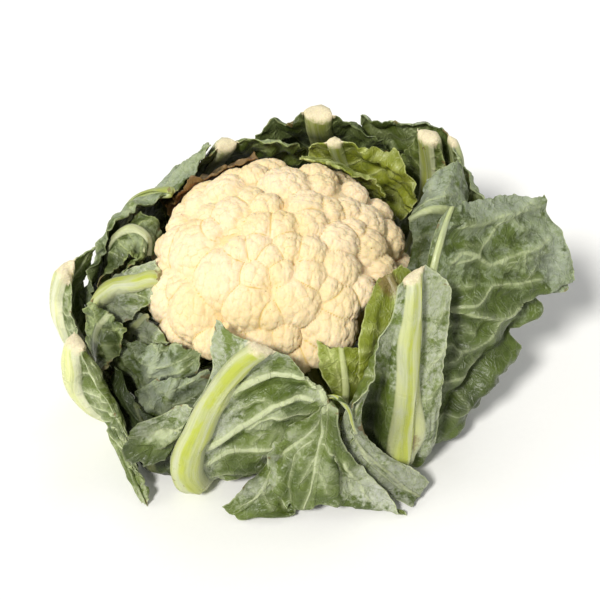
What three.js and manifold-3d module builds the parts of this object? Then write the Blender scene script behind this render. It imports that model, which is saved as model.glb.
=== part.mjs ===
// A trimmed cauliflower: a lumpy ivory curd on a short cut stalk, wrapped in cut leaves.
// Millimetres, +Z up. The origin is the centre of the stalk's flat cut face, which rests on the ground.
import * as THREE from "three";
import { mergeVertices } from "three/addons/utils/BufferGeometryUtils.js";
import Module from "manifold-3d";

// ---- the head ----
const CURD_CENTRE = 72; // height of the dome's middle, where it is widest
const CURD_RADIUS = 73; // half its width, before the florets stand out
const CURD_RISE = 60; // height of the crown above the middle
const CURD_UNDERSIDE = 19; // depth of the flat underside below the middle
const CORE_INSET = 9; // how far the solid core lies below the dome
const LOBE_SINK = 0.7; // share of a floret's radius that its centre lies below the dome
const CURD_DETAIL = 10; // divisions of each face of the base icosahedron
const FILL_COUNT = 96; // places tried for the florets the list doesn't name
const FILL_RADIUS = 14;
const FILL_VARIES = 0.25; // share by which their radii differ
const FILL_BEAT = 7.3; // step of the sine that varies them
const FILL_SPREAD = 1.04; // how far down the dome they go, as a share of its rise
const FILL_CROWDING = 0.68; // least distance between two florets, as a share of their radii together
const GOLDEN_ANGLE = 2.39996; // radians

// ---- the stalk ----
const STALK_PROFILE = [
  [20.5, 0], [22.5, 2], [24, 9], [24.2, 24], [24.6, 40], [25.5, 52.4],
];
const STALK_SIDES = 28;

// ---- the leaves ----
const BLADE = 1.3; // thickness of a blade
const FLANGE = 1.4; // least width of blade kept beside a bare rib
const RIB_OUT = 0.52; // height of a rib on the leaf's outer face, as a share of its width
const RIB_IN = 0.12; // and on its inner face
const STUB_IN = 0.3; // the same share at a cut end, where the rib is rounder
const GAP = 0.5; // clear space kept between one leaf and the next
const CLEARANCE = 0.3; // space left where one leaf is trimmed round another
const GROUND = 0.6; // lowest height of a leaf's middle surface
const HEAD_CENTRE = 60; // height of the point the leaves are nested round
const CELL = 2.5; // size in degrees of a cell of the map that keeps leaves clear of each other
const DRAPE_REACH = 26; // a leaf further in than this is meant to lie inside
const UNDER_HEAD = 66; // leaves are nested only outside this radius
const UNMAPPED = 58; // and the map leaves out what lies low within this one
const BROADEST = 0.5; // share of a rib's length at which it has its middle width
const RIB_STATIONS = [0.55, 1]; // places across half a rib
const STUB_START = 0.7; // share of a rib's length from which it rounds towards its cut end
const ROW_LENGTH = 14; // aim for the spacing of a sheet's lines along the leaf
const FEWEST_ROWS = 5, MOST_ROWS = 14;
const FINE_STEPS = 32; // samples of a line across the blade
const MARGIN_WANDER = 0.05; // share by which a blade's width wanders along its margin
const WANDER_LENGTH = 7;
const WAVE = [[0.55, 1, 2.4], [0.3, 2.3, 5.1], [0.2, 4.1, 1.7]]; // each sine's swing, beat and start
const RUFFLE_LENGTH = 6; // length along the margin for one radian of its waves
const RUFFLE_ROOM = 14; // width of blade from which the margin waves fully
const EXTRA_COLUMN = 0.8; // spacing of blade points filled in beside a bare rib
const EXTRA_ANGLE = 0.6; // and beyond a blade's last given point, in degrees
const HIGH = 95; // height from which a leaf lies over the curd
const DRAPE_BLEND = 14; // radius over which the nesting comes in
const DRAPE_ROUNDS = 2; // times the push is spread to its neighbours
const SETTLE = 3; // height over which a leaf settles onto the ground
const SAMPLE_SPACING = 3; // aim for the spacing of the samples of a face
const SHEET_SEED = 0.37; // step of the seed from one sheet of a leaf to the next
const TRIM_FROM = 1e-3; // volume of overlap, in cubic mm, from which a leaf is trimmed

const CURD_ROUGHNESS = 0.8, LEAF_ROUGHNESS = 0.6; // the stalk is as rough as the leaves
const CREAM = 0xf2e6c2, STALK_GREEN = 0xc9cf9a;
const PALE = 0xb9c98c, GREEN = 0x7c9a58, BLOOM = 0x8fa586, DARK = 0x4d6335, DRY = 0x9a8264;

// Florets that show, each [azimuth, elevation, radius].
const LOBES = [
  [-167, 61, 13], [174, 72, 9], [82, 71, 15], [-17, 74, 12], [-117, 67, 10], [-89, 69, 10], [-44, 67, 10],
  [-10, 63, 9], [-124, 50, 9], [-111, 55, 9], [-98, 51, 8], [-83, 57, 9], [-64, 52, 9], [-161, 35, 18],
  [-127, 34, 17], [-106, 40, 10], [-89, 43, 8], [-71, 40, 10], [-137, 11, 19], [-107, 26, 15], [-95, 24, 9],
  [-81, 29, 14], [-36, 49, 12], [-50, 38, 12], [-62, 32, 8], [-58, 23, 12], [-20, 36, 12], [0, 40, 13],
  [25, 23, 10], [1, 52, 9], [-24, 25, 10], [-66, 11, 17], [-88, 13, 9], [-83, 2, 11], [-75, 5, 11],
  [159, 38, 8], [158, 26, 8], [171, 28, 8], [-149, 17, 9], [-159, 48, 9], [-124, 4, 12], [-98, 10, 11],
  [-112, 8, 11], [-108, -4, 10], [-45, 24, 10], [-177, 50, 8], [-147, 80, 9], [118, 53, 10], [41, 60, 9],
  [31, 40, 9], [178, 18, 8], [-168, 16, 9], [-164, 4, 10], [-19, 47, 8],
  [-158, 6, 20], [-144, -4, 19], [-172, 26, 14],
];

// One row of a leaf from its base to its tip: the rib's point, then the points of the blade to its left
// and to its right, each from the rib outwards. A point is [azimuth, radius, height]. A side with no
// blade is left out.
const row = (rib, left = [], right = []) => ({ rib, left, right });

const LEAVES = [
  {
    name: "leaf_crown_strip", color: PALE, ruffle: 0.8,
    sheets: [{ width: [5, 4, 3], rows: [
      row([55, 28, 47]), row([55, 74, 45]), row([55, 84, 64]),
      row([55, 76, 92], [[40, 78, 92]], [[68, 76, 94]]),
      row([56, 62, 112], [[34, 69, 107]], [[76, 60, 114]]),
      row([58, 48, 122], [[42, 55, 118]], [[78, 46, 124]]),
    ] }],
  },
  {
    name: "leaf_dried", color: DRY, ruffle: 1.5,
    sheets: [{ width: [5, 4, 3], rows: [
      row([128, 28, 46]), row([128, 74, 44]), row([128, 84, 60], [[118, 84, 62]], [[138, 84, 60]]),
      row([126, 80, 86], [[108, 78, 90]], [[146, 80, 84]]),
      row([124, 68, 104], [[102, 62, 110]], [[146, 70, 98]]),
      row([122, 58, 112], [[104, 55, 116]], [[142, 61, 107]]),
    ] }],
  },
  {
    name: "leaf_small_front", color: PALE, ruffle: 0.8,
    sheets: [{ width: [7, 6, 3], rows: [
      row([-68, 28, 44]), row([-68, 72, 38]), row([-68, 87, 50], [[-72, 87, 50]], [[-62, 88, 52]]),
      row([-67, 88, 66], [[-72, 87, 64]], [[-59, 89, 72]]),
      row([-67, 84, 80], [[-76, 80, 80]], [[-59, 86, 82]]),
      row([-67, 80, 91], [[-75, 74, 92]], [[-60, 84, 88]]),
    ] }],
  },
  {
    name: "leaf_inner_front_right", color: PALE, ruffle: 0.6,
    sheets: [{ width: [9, 8, 4], rows: [
      row([-45, 28, 42]), row([-46, 74, 34], [[-50, 75, 34]], [[-41, 75, 34]]),
      row([-46, 90, 50], [[-64, 86, 46]], [[-34, 90, 50]]),
      row([-46, 89, 72], [[-64, 80, 66]], [[-30, 88, 74]]),
      row([-43, 85, 88], [[-62, 78, 84]], [[-28, 84, 92]]),
      row([-38, 78, 101], [[-52, 67, 96]], [[-26, 80, 104]]),
      row([-34, 68, 109], [[-40, 60, 103]], [[-26, 72, 110]]),
    ] }],
  },
  {
    name: "leaf_inner_back_right", color: GREEN, ruffle: 0.8,
    sheets: [{ width: [8, 10, 9], rows: [
      row([64, 28, 44]), row([64, 74, 38]), row([64, 90, 58], [[48, 91, 56]], [[74, 90, 60]]),
      row([64, 86, 88], [[32, 90, 84]], [[78, 86, 90]]),
      row([65, 77, 108], [[28, 87, 106]], [[79, 75, 110]]),
      row([65, 70, 121], [[40, 86, 122]], [[72, 70, 118]]),
    ] }],
  },
  {
    name: "leaf_left_band", color: BLOOM, ruffle: 0.5,
    sheets: [{ width: [7, 8, 4], rows: [
      row([-156, 28, 44]), row([-157, 70, 36], [[-165, 71, 36]], [[-149, 70, 36]]),
      row([-158, 91, 42], [[-170, 91, 42]], [[-141, 88, 40]]),
      row([-158, 92, 58], [[-167, 96, 60]], [[-146, 88, 56]]),
      row([-156, 87, 68], [[-167, 96, 72]], [[-141, 82, 65]]),
      row([-154, 81, 77], [[-165, 92, 79]], [[-138, 78, 73]]),
    ] }],
  },
  {
    name: "leaf_left_rib", color: PALE, ruffle: 0.8,
    sheets: [{ width: [8, 11, 10], rows: [
      row([-172, 28, 42]), row([-172, 74, 34]), row([-171, 98, 46], [[-177, 98, 46]], [[-164, 98, 46]]),
      row([-169, 105, 62], [[-178, 103, 62]], [[-160, 103, 60]]),
      row([-168, 97, 74], [[-177, 94, 77]], [[-156, 94, 72]]),
      row([-166, 84, 83], [[-174, 82, 88]], [[-155, 81, 79]]),
      row([-161, 68, 93], [[-167, 66, 97]], [[-156, 67, 86]]),
    ] }],
  },
  {
    name: "leaf_left_curl", color: GREEN, ruffle: 1.6,
    sheets: [{ width: [8, 9, 5], rows: [
      row([172, 28, 30]), row([172, 74, 22]), row([172, 97, 40], [[163, 97, 40]], [[181, 97, 40]]),
      row([171, 101, 66], [[158, 99, 68]], [[184, 98, 64]]),
      row([170, 96, 87], [[160, 92, 90]], [[183, 90, 84]]),
      row([171, 84, 97], [[163, 80, 99]], [[183, 80, 92]]),
      row([175, 73, 93], [[165, 70, 97]], [[186, 72, 87]]),
      row([182, 71, 84], [[172, 68, 88]], [[189, 73, 82]]),
    ] }],
  },
  {
    name: "leaf_left_torn", color: GREEN, ruffle: 1.4,
    sheets: [{ width: [8, 8, 3], rows: [
      row([-141, 28, 30]), row([-141, 72, 22], [[-147, 73, 22]], [[-135, 72, 22]]),
      row([-141, 94, 32], [[-161, 100, 27]], [[-129, 90, 32]]),
      row([-141, 95, 48], [[-158, 103, 44]], [[-126, 85, 50]]),
      row([-140, 88, 62], [[-155, 100, 60]], [[-123, 79, 63]]),
      row([-139, 80, 74], [[-152, 96, 67]], [[-123, 72, 79]]),
    ] }],
  },
  {
    name: "leaf_back_left", color: GREEN, ruffle: 1.2,
    sheets: [{ width: [9, 14, 12], rows: [
      row([118, 28, 30]), row([118, 74, 22]), row([118, 98, 34], [[106, 98, 36]], [[130, 98, 36]]),
      row([118, 99, 62], [[94, 98, 62]], [[138, 98, 62]]),
      row([117, 92, 88], [[84, 88, 90]], [[140, 92, 88]]),
      row([117, 84, 102], [[80, 76, 108]], [[134, 82, 102]]),
      row([116, 77, 110], [[95, 64, 119]], [[124, 76, 110]]), row([116, 73, 117]),
    ] }],
  },
  {
    name: "leaf_low_left_inner", color: BLOOM, ruffle: 1.2,
    sheets: [{ width: [7, 8, 4], rows: [
      row([-126, 28, 42]), row([-126, 74, 33]), row([-128, 96, 34], [[-136, 100, 33]], [[-119, 93, 36]]),
      row([-129, 97, 46], [[-140, 105, 42]], [[-117, 88, 48]]),
      row([-129, 90, 57], [[-139, 100, 53]], [[-117, 82, 60]]),
      row([-128, 84, 64], [[-135, 91, 60]], [[-118, 77, 69]]),
    ] }],
  },
  {
    name: "leaf_right_over", color: BLOOM, ruffle: 0.8,
    sheets: [{ width: [9, 11, 5], rows: [
      row([3, 28, 42]), row([3, 74, 34]), row([3, 96, 48], [[-8, 95, 48]], [[14, 97, 50]]),
      row([3, 104, 76], [[-16, 97, 70]], [[21, 110, 82]]),
      row([4, 102, 100], [[-20, 93, 87]], [[23, 113, 110]]),
      row([4, 93, 115], [[-20, 86, 94]], [[22, 108, 126]]),
      row([4, 80, 117], [[-20, 78, 94]], [[19, 95, 128]]),
      row([4, 70, 111], [[-18, 69, 91]], [[16, 82, 124]]),
    ] }],
  },
  {
    name: "leaf_back", color: DARK, ruffle: 1.4,
    sheets: [{ width: [11, 17, 17], rows: [
      row([77, 28, 14]), row([77, 74, 9]), row([76, 100, 16], [[86, 100, 16]], [[66, 100, 16]]),
      row([76, 111, 44], [[58, 111, 44]], [[96, 109, 44]]),
      row([76, 109, 76], [[52, 110, 78]], [[102, 106, 76]]),
      row([76, 102, 96], [[52, 104, 102]], [[102, 95, 100]]),
      row([76, 93, 110], [[58, 88, 118]], [[97, 80, 116]]), row([76, 88, 119]), row([76, 86, 127]),
    ] }],
  },
  {
    name: "leaf_back_right_stub", color: GREEN, ruffle: 1,
    sheets: [{ width: [9, 13, 14], rows: [
      row([40, 28, 30]), row([40, 74, 22]), row([40, 100, 32], [[30, 100, 34]], [[50, 100, 34]]),
      row([39, 109, 60], [[24, 108, 60]], [[54, 108, 60]]),
      row([38, 111, 88], [[26, 110, 88]], [[52, 104, 88]]),
      row([38, 110, 104], [[29, 108, 102]], [[48, 102, 104]]), row([38, 108, 116]), row([38, 106, 124]),
    ] }],
  },
  {
    name: "leaf_back_right_wrap", color: BLOOM, ruffle: 1,
    sheets: [{ width: [10, 14, 6], rows: [
      row([27, 28, 14]), row([28, 76, 9]), row([30, 106, 16], [[20, 106, 16]], [[40, 106, 16]]),
      row([32, 115, 44], [[8, 112, 44]], [[54, 115, 44]]),
      row([33, 118, 76], [[6, 113, 74]], [[62, 111, 78]]),
      row([34, 119, 101], [[13, 111, 96]], [[64, 104, 102]]),
      row([35, 116, 117], [[20, 112, 110]], [[62, 90, 121]]),
    ] }],
  },
  {
    name: "leaf_right_low", color: DARK, ruffle: 1.2,
    sheets: [{ width: [9, 12, 6], rows: [
      row([-14, 28, 14]), row([-14, 76, 8]), row([-15, 98, 12], [[-38, 98, 9]], [[0, 98, 14]]),
      row([-15, 106, 32], [[-41, 104, 20]], [[8, 106, 32]]),
      row([-14, 107, 56], [[-36, 100, 50]], [[10, 107, 58]]),
      row([-12, 103, 78], [[-26, 98, 78]], [[6, 104, 82]]),
    ] }],
  },
  {
    name: "leaf_left_back", color: BLOOM, ruffle: 1,
    sheets: [{ width: [10, 14, 5], rows: [
      row([150, 28, 14]), row([150, 76, 9]), row([149, 104, 16], [[139, 104, 16]], [[164, 105, 16]]),
      row([149, 112, 42], [[124, 108, 42]], [[181, 109, 40]]),
      row([149, 108, 68], [[120, 102, 72]], [[185, 106, 60]]),
      row([149, 96, 89], [[120, 86, 100]], [[183, 99, 74]]),
      row([149, 82, 99], [[121, 75, 110]], [[173, 88, 86]]),
      row([150, 70, 104], [[123, 66, 113]], [[171, 78, 93]]),
    ] }],
  },
  {
    name: "leaf_low_left", color: DARK, ruffle: 1.4,
    sheets: [{ width: [7, 9, 5], rows: [
      row([-129, 29, 14]), row([-132, 76, 8]), row([-129, 111, 4], [[-138, 114, 7]], [[-121, 104, 4]]),
      row([-130, 112, 12], [[-143, 115, 16]], [[-120, 101, 10]]),
      row([-132, 107, 28], [[-148, 112, 32]], [[-119, 96, 22]]),
      row([-134, 104, 40], [[-151, 108, 46]], [[-120, 93, 34]]),
      row([-136, 101, 49], [[-150, 103, 57]], [[-122, 92, 42]]),
    ] }],
  },
  {
    name: "leaf_left_crumpled", color: GREEN, ruffle: 2.6,
    sheets: [{ width: [7, 9, 4], rows: [
      row([-163, 28, 30]), row([-162, 76, 20]), row([-160, 104, 34], [[-165, 106, 34]], [[-153, 104, 36]]),
      row([-158, 110, 54], [[-166, 112, 54]], [[-149, 104, 54]]),
      row([-157, 108, 72], [[-165, 111, 74]], [[-148, 98, 66]]),
      row([-157, 99, 83], [[-163, 105, 86]], [[-150, 92, 77]]),
    ] }],
  },
  {
    name: "leaf_left_outer", color: GREEN, ruffle: 1,
    sheets: [{ width: [8, 13, 12], rows: [
      row([-176, 29, 14]), row([-175, 76, 8]), row([-174, 106, 13], [[-182, 106, 14]], [[-166, 106, 14]]),
      row([-174, 118, 32], [[-184, 112, 34]], [[-164, 113, 30]]),
      row([-174, 123, 50], [[-183, 112, 54]], [[-165, 117, 46]]),
      row([-174, 124, 64], [[-181, 115, 68], [-184, 101, 72]], [[-167, 118, 58]]),
      row([-175, 122, 76], [[-180, 114, 80], [-183, 99, 84]], [[-169, 119, 68]]),
      row([-176, 119, 86], [[-180, 111, 91], [-182, 98, 91]], [[-172, 117, 79]]),
    ] }],
  },
  {
    name: "leaf_left_thick", color: PALE, ruffle: 1.4,
    sheets: [{ width: [8, 14, 13], rows: [
      row([-152, 29, 14]), row([-153, 74, 8]),
      row([-154, 106, 11], [[-160, 108, 12]], [[-141, 116, 21], [-131, 122, 10], [-125, 127, 2]]),
      row([-155, 117, 24], [[-162, 117, 26]], [[-141, 116, 26], [-131, 122, 12], [-125, 127, 4]]),
      row([-155, 123, 40], [[-161, 121, 42]], [[-142, 115, 35], [-133, 118, 19], [-126, 124, 7]]),
      row([-154, 125, 54], [[-159, 123, 56]], [[-145, 113, 46], [-138, 114, 31], [-131, 115, 17]]),
      row([-154, 124, 64], [[-158, 122, 65]], [[-148, 115, 58], [-144, 110, 50], [-141, 108, 41]]),
      row([-154, 121, 74]),
    ] }],
  },
  {
    name: "leaf_right", color: BLOOM, ruffle: 2.2,
    sheets: [{ width: [8, 8, 3], rows: [
      row([-40, 28, 30]), row([-42, 74, 20]), row([-42, 98, 15], [[-45, 98, 15]], [[-34, 110, 9]]),
      row([-41, 103, 40], [[-43, 101, 42]], [[-31, 115, 32], [-26, 124, 28]]),
      row([-37, 97, 68], [[-38, 94, 70]], [[-24, 119, 58], [-15, 137, 45]]),
      row([-33, 92, 90], [[-35, 88, 88]], [[-15, 120, 80], [-6, 152, 67]]),
      row([-26, 89, 112], [[-28, 85, 107]], [[-9, 120, 100], [-3, 162, 86]]),
      row([-17, 89, 126], [[-19, 84, 122]], [[-1, 118, 116], [1, 155, 104]]),
      row([-8, 92, 135], [[-10, 87, 131]], [[2, 108, 128], [6, 144, 121]]),
    ] }],
  },
  {
    name: "leaf_front_right", color: PALE, ruffle: 0.8,
    sheets: [{ width: [12, 18.5, 12.5], blade: 4, lengthwise: 11, rows: [
      row([-54, 28, 14]), row([-54, 72, 8]), row([-53, 99, 9], [], [[-49, 102, 8], [-46, 104, 8]]),
      row([-53, 106, 20], [[-57, 105, 20], [-60, 95, 21], [-63, 94, 23], [-66, 101, 26]],
        [[-48, 107, 20], [-44, 109, 20]]),
      row([-52, 105, 38], [[-56, 104, 38], [-59, 87, 39], [-62, 85, 41], [-66, 95, 44], [-69, 107, 46]],
        [[-47, 106, 38], [-42, 110, 42]]),
      row([-50, 102, 58], [[-54, 101, 58], [-57, 86, 59], [-61, 83, 62], [-66, 94, 66], [-69, 106, 68]],
        [[-46, 102, 58], [-40, 111, 62]]),
      row([-48, 98, 76], [[-52, 97, 76], [-54, 86, 77], [-57, 84, 79], [-61, 92, 83], [-62, 102, 84]],
        [[-44, 98, 76], [-37, 109, 82]]),
      row([-44, 93, 94], [[-48, 91, 94], [-50, 86, 93], [-51, 86, 92], [-52, 86, 92], [-53, 86, 92]],
        [[-40, 93, 94], [-33, 105, 100]]),
      row([-40, 88, 108], [], [[-36, 88, 108], [-29, 98, 116]]), row([-36, 84, 118]),
    ] }, { width: [2, 2], blade: 2, lengthwise: 7, rows: [
      row([-64, 99, 73], [[-66, 98, 71]], [[-62, 98, 71]]),
      row([-68, 104, 64], [[-71, 101, 61]], [[-66, 103, 62]]),
      row([-69, 107, 51], [[-72, 104, 48]], [[-65, 105, 47]]),
      row([-67, 110, 41], [[-71, 107, 38]], [[-62, 108, 37]]),
      row([-63, 114, 30], [[-67, 110, 24]], [[-59, 113, 30]]),
      row([-59, 118, 19], [[-63, 114, 10]], [[-55, 118, 23]]),
      row([-56, 123, 9], [[-59, 121, 3]], [[-51, 123, 15]]),
      row([-54, 128, 5], [[-57, 130, 2]], [[-50, 127, 9]]),
    ] }],
  },
  {
    name: "leaf_front_left", color: PALE, ruffle: 0.7,
    sheets: [{ width: [11, 17, 12], lengthwise: 14, rows: [
      row([-106, 29, 15]), row([-112, 70, 9]), row([-116, 103, 12], [], [[-109, 100, 10], [-106, 100, 9]]),
      row([-117, 109, 24], [], [[-103, 99, 20], [-91, 94, 22]]),
      row([-116, 109, 38], [], [[-102, 98, 36], [-86, 95, 34]]),
      row([-114, 105, 50], [], [[-98, 96, 50], [-80, 95, 52]]),
      row([-112, 101, 62], [], [[-95, 94, 63], [-76, 98, 68]]),
      row([-108, 94, 76], [[-113, 92, 76]], [[-93, 91, 76], [-77, 96, 80]]),
      row([-103, 89, 90], [[-115, 84, 92]], [[-91, 88, 88], [-82, 90, 86]]),
      row([-96, 86, 101], [[-115, 79, 107]], [[-90, 86, 97], [-87, 86, 95]]),
    ] }, { width: [2, 2], blade: 2, lengthwise: 5, rows: [
      row([-119, 107, 47], [[-123, 107, 27]], [[-116, 105, 65]]),
      row([-122, 107, 46], [[-127, 107, 26]], [[-119, 104, 64]]),
      row([-128, 106, 41], [[-131, 106, 29]], [[-126, 104, 53]]),
      row([-133, 105, 39], [[-134, 105, 34]], [[-134, 104, 43]]),
    ] }, { width: [2, 1.6], lengthwise: 8, rows: [
      row([-75, 98, 70], [[-77, 97, 67]], [[-74, 99, 70], [-73, 100, 69]]),
      row([-76, 102, 58], [[-83, 93, 54]], [[-74, 101, 56], [-72, 101, 55]]),
      row([-77, 106, 49], [[-90, 91, 45]], [[-73, 102, 45], [-70, 101, 42]]),
      row([-79, 109, 39], [[-95, 92, 34]], [[-72, 103, 33], [-66, 104, 30]]),
      row([-80, 112, 28], [[-94, 99, 25]], [[-71, 106, 21], [-62, 108, 18]]),
      row([-81, 115, 17], [[-92, 106, 15]], [[-71, 112, 11], [-58, 114, 8]]),
      row([-82, 118, 6], [[-87, 114, 4]], [[-71, 115, 4], [-61, 119, 2]]),
    ] }, { width: [2, 1.6], blade: 2, lengthwise: 5, rows: [
      row([-92, 98, 27], [[-94, 97, 27]], [[-89, 99, 24]]),
      row([-94, 105, 21], [[-98, 101, 17]], [[-88, 103, 15]]),
      row([-96, 110, 15], [[-101, 106, 13]], [[-87, 108, 7]]),
      row([-99, 114, 9], [[-103, 111, 9]], [[-86, 113, 3]]),
      row([-103, 119, 4], [[-106, 117, 8]], [[-89, 116, 2]]),
    ] }, { width: [2.6, 1.6], blade: 1, flange: 0.25, lengthwise: 6, rows: [
      row([-75, 95, 72]), row([-73, 98, 75]), row([-71, 101, 71]), row([-70, 104, 62]),
      row([-69, 105, 54]),
    ] }],
  },
];

const wasm = await Module();
wasm.setup();

const radians = THREE.MathUtils.degToRad;
const degrees = THREE.MathUtils.radToDeg;
const toPoint = ([azimuth, radius, height]) =>
  new THREE.Vector3(radius * Math.cos(radians(azimuth)), radius * Math.sin(radians(azimuth)), height);

// A smooth curve through points (arrays of numbers) at the given knots.
function curveThrough(points, knots) {
  const slopes = points.map((point, i) => {
    const before = Math.max(i - 1, 0), after = Math.min(i + 1, points.length - 1);
    const span = knots[after] - knots[before];
    if (before === i || after === i) {
      return point.map((_, k) => (points[after][k] - points[before][k]) / span);
    }
    const a = knots[i] - knots[before], b = knots[after] - knots[i];
    return point.map((x, k) =>
      ((x - points[before][k]) / a) * (b / span) + ((points[after][k] - x) / b) * (a / span));
  });
  return (t) => {
    let i = 0;
    while (i < knots.length - 2 && t > knots[i + 1]) i++;
    const h = knots[i + 1] - knots[i], s = (t - knots[i]) / h;
    const a = (1 + 2 * s) * (1 - s) ** 2, b = s * (1 - s) ** 2 * h;
    const c = s * s * (3 - 2 * s), d = -s * s * (1 - s) * h;
    return points[i].map((x, k) => a * x + b * slopes[i][k] + c * points[i + 1][k] + d * slopes[i + 1][k]);
  };
}

// Distances along a run of polar points, from 0.
function knotsOf(points) {
  const knots = [0];
  for (let i = 1; i < points.length; i++) {
    knots.push(knots[i - 1] + Math.max(0.5, toPoint(points[i]).distanceTo(toPoint(points[i - 1]))));
  }
  return knots;
}

// A repeatable wave made of a few sines, between about -1 and 1.
function wave(seed, t) {
  return WAVE.reduce((sum, [swing, beat, start]) => sum + swing * Math.sin(beat * t + seed * start), 0);
}

// The blade's points to one side of the rib for every row, with a narrow flange where there is no blade.
function sideColumns(rows, widths, side, sign, flange) {
  const count = Math.max(1, ...rows.map((r) => r[side].length));
  return Array.from({ length: count }, (_, k) => rows.map((r, i) => {
    const given = r[side];
    if (given.length > k) return given[k];
    if (given.length) {
      const [last, out, up] = given[given.length - 1];
      return [last + sign * EXTRA_ANGLE * k, out, up];
    }
    const [azimuth, radius, height] = r.rib;
    const offset = widths[i] / 2 + flange + EXTRA_COLUMN * k;
    return [azimuth + sign * degrees(offset / radius), radius, height];
  }));
}

// The middle surface of a sheet: a grid of points, with the place of each column across the rib and
// the blade.
function middleSurface({ rows, width, blade = 3, flange = FLANGE, lengthwise }, seed, ruffle) {
  const ribKnots = knotsOf(rows.map((r) => r.rib)), length = ribKnots[ribKnots.length - 1];
  const widthAt = (t) => (t < BROADEST
    ? THREE.MathUtils.lerp(width[0], width[1], t / BROADEST)
    : THREE.MathUtils.lerp(width[1], width[2] ?? width[1], (t - BROADEST) / (1 - BROADEST)));
  const widths = ribKnots.map((t) => widthAt(t / length));
  const columns = [
    ...sideColumns(rows, widths, "left", -1, flange).reverse(), rows.map((r) => r.rib),
    ...sideColumns(rows, widths, "right", 1, flange),
  ];
  const ribColumn = columns.length - 1 - Math.max(1, ...rows.map((r) => r.right.length));
  const curves = columns.map((column) => curveThrough(column, ribKnots));
  const steps = lengthwise
    ?? Math.round(THREE.MathUtils.clamp(length / ROW_LENGTH, FEWEST_ROWS, MOST_ROWS));
  const grid = [];
  for (let i = 0; i <= steps; i++) {
    const t = (i / steps) * length, half = widthAt(t / length) / 2;
    const across = curves.map((c) => c(t));
    const line = [];
    for (const sign of [-1, 1]) {
      const points = sign < 0 ? across.slice(0, ribColumn + 1).reverse() : across.slice(ribColumn);
      const knots = knotsOf(points), curve = curveThrough(points, knots);
      const whole = knots[knots.length - 1];
      const fine = Array.from({ length: FINE_STEPS + 1 }, (_, k) => (
        toPoint(curve((k / FINE_STEPS) * whole))));
      const far = [0];
      for (let k = 1; k < fine.length; k++) far.push(far[k - 1] + fine[k].distanceTo(fine[k - 1]));
      const wander = 1 + MARGIN_WANDER * wave(seed + sign, t / WANDER_LENGTH);
      const reach = Math.max(far[FINE_STEPS] * wander, half + flange);
      const at = (s) => {
        let k = 1;
        while (k < FINE_STEPS && far[k] < s) k++;
        return fine[k - 1].clone().lerp(fine[k], (s - far[k - 1]) / Math.max(far[k] - far[k - 1], 1e-6));
      };
      const stations = [
        ...RIB_STATIONS.map((s) => ({ s: s * half, rib: s, edge: 0 })),
        ...Array.from({ length: blade }, (_, k) => ({
          s: half + (reach - half) * ((k + 1) / blade), rib: 1, edge: (k + 1) / blade, room: reach - half,
        })),
      ].map((station) => ({ ...station, sign, along: t, point: at(station.s) }));
      const middle = { s: 0, rib: 0, edge: 0, sign: 0, along: t, point: fine[0] };
      line.push(...(sign < 0 ? [...stations.reverse(), middle] : stations));
    }
    grid.push(line.map((station) => ({ ...station, half, end: t / length })));
  }
  const normals = normalsOf(grid);
  grid.forEach((line, i) => line.forEach((station, j) => {
    if (!station.edge) return;
    const swing = ruffle * station.edge ** 2 * Math.min(1, station.room / RUFFLE_ROOM);
    const phase = station.along / RUFFLE_LENGTH;
    station.point.addScaledVector(normals[i][j], swing * wave(seed + 3 * station.sign, phase));
  }));
  return grid;
}

// Unit normals of a grid, pointing to the leaf's outer face.
function normalsOf(grid) {
  const pick = (i, j) => grid[THREE.MathUtils.clamp(i, 0, grid.length - 1)][
    THREE.MathUtils.clamp(j, 0, grid[0].length - 1)].point;
  return grid.map((line, i) => line.map((_, j) => {
    const along = pick(i + 1, j).clone().sub(pick(i - 1, j));
    const across = pick(i, j + 1).clone().sub(pick(i, j - 1));
    return across.cross(along).normalize();
  }));
}

// The map of how far out the head reaches in every direction from its centre, as leaves are laid over it.
class Cover {
  constructor() {
    this.across = Math.round(360 / CELL);
    this.up = Math.round(180 / CELL);
    this.reach = new Float64Array(this.across * this.up);
  }

  place(point) {
    const { x, y } = point, z = point.z - HEAD_CENTRE, far = Math.hypot(x, y, z);
    const column = Math.floor((degrees(Math.atan2(y, x)) + 360) / CELL) % this.across;
    const line = Math.min(this.up - 1, Math.floor((degrees(Math.asin(z / far)) + 90) / CELL));
    return { column, line, far };
  }

  // Adds the triangle or quad's sample points.
  lay(points) {
    for (const point of points) {
      if (Math.hypot(point.x, point.y) < UNMAPPED && point.z < HEAD_CENTRE) continue;
      const { column, line, far } = this.place(point), k = line * this.across + column;
      this.reach[k] = Math.max(this.reach[k], far);
    }
  }

  // How far a point has to move out to lie clear.
  need(point) {
    const { column, line, far } = this.place(point);
    let reach = 0;
    for (let a = -1; a <= 1; a++) {
      for (let b = -1; b <= 1; b++) {
        const l = THREE.MathUtils.clamp(line + b, 0, this.up - 1);
        const r = this.reach[l * this.across + ((column + a + this.across) % this.across)];
        if (r < far + DRAPE_REACH) reach = Math.max(reach, r);
      }
    }
    return Math.max(0, reach + GAP - far);
  }
}

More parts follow.
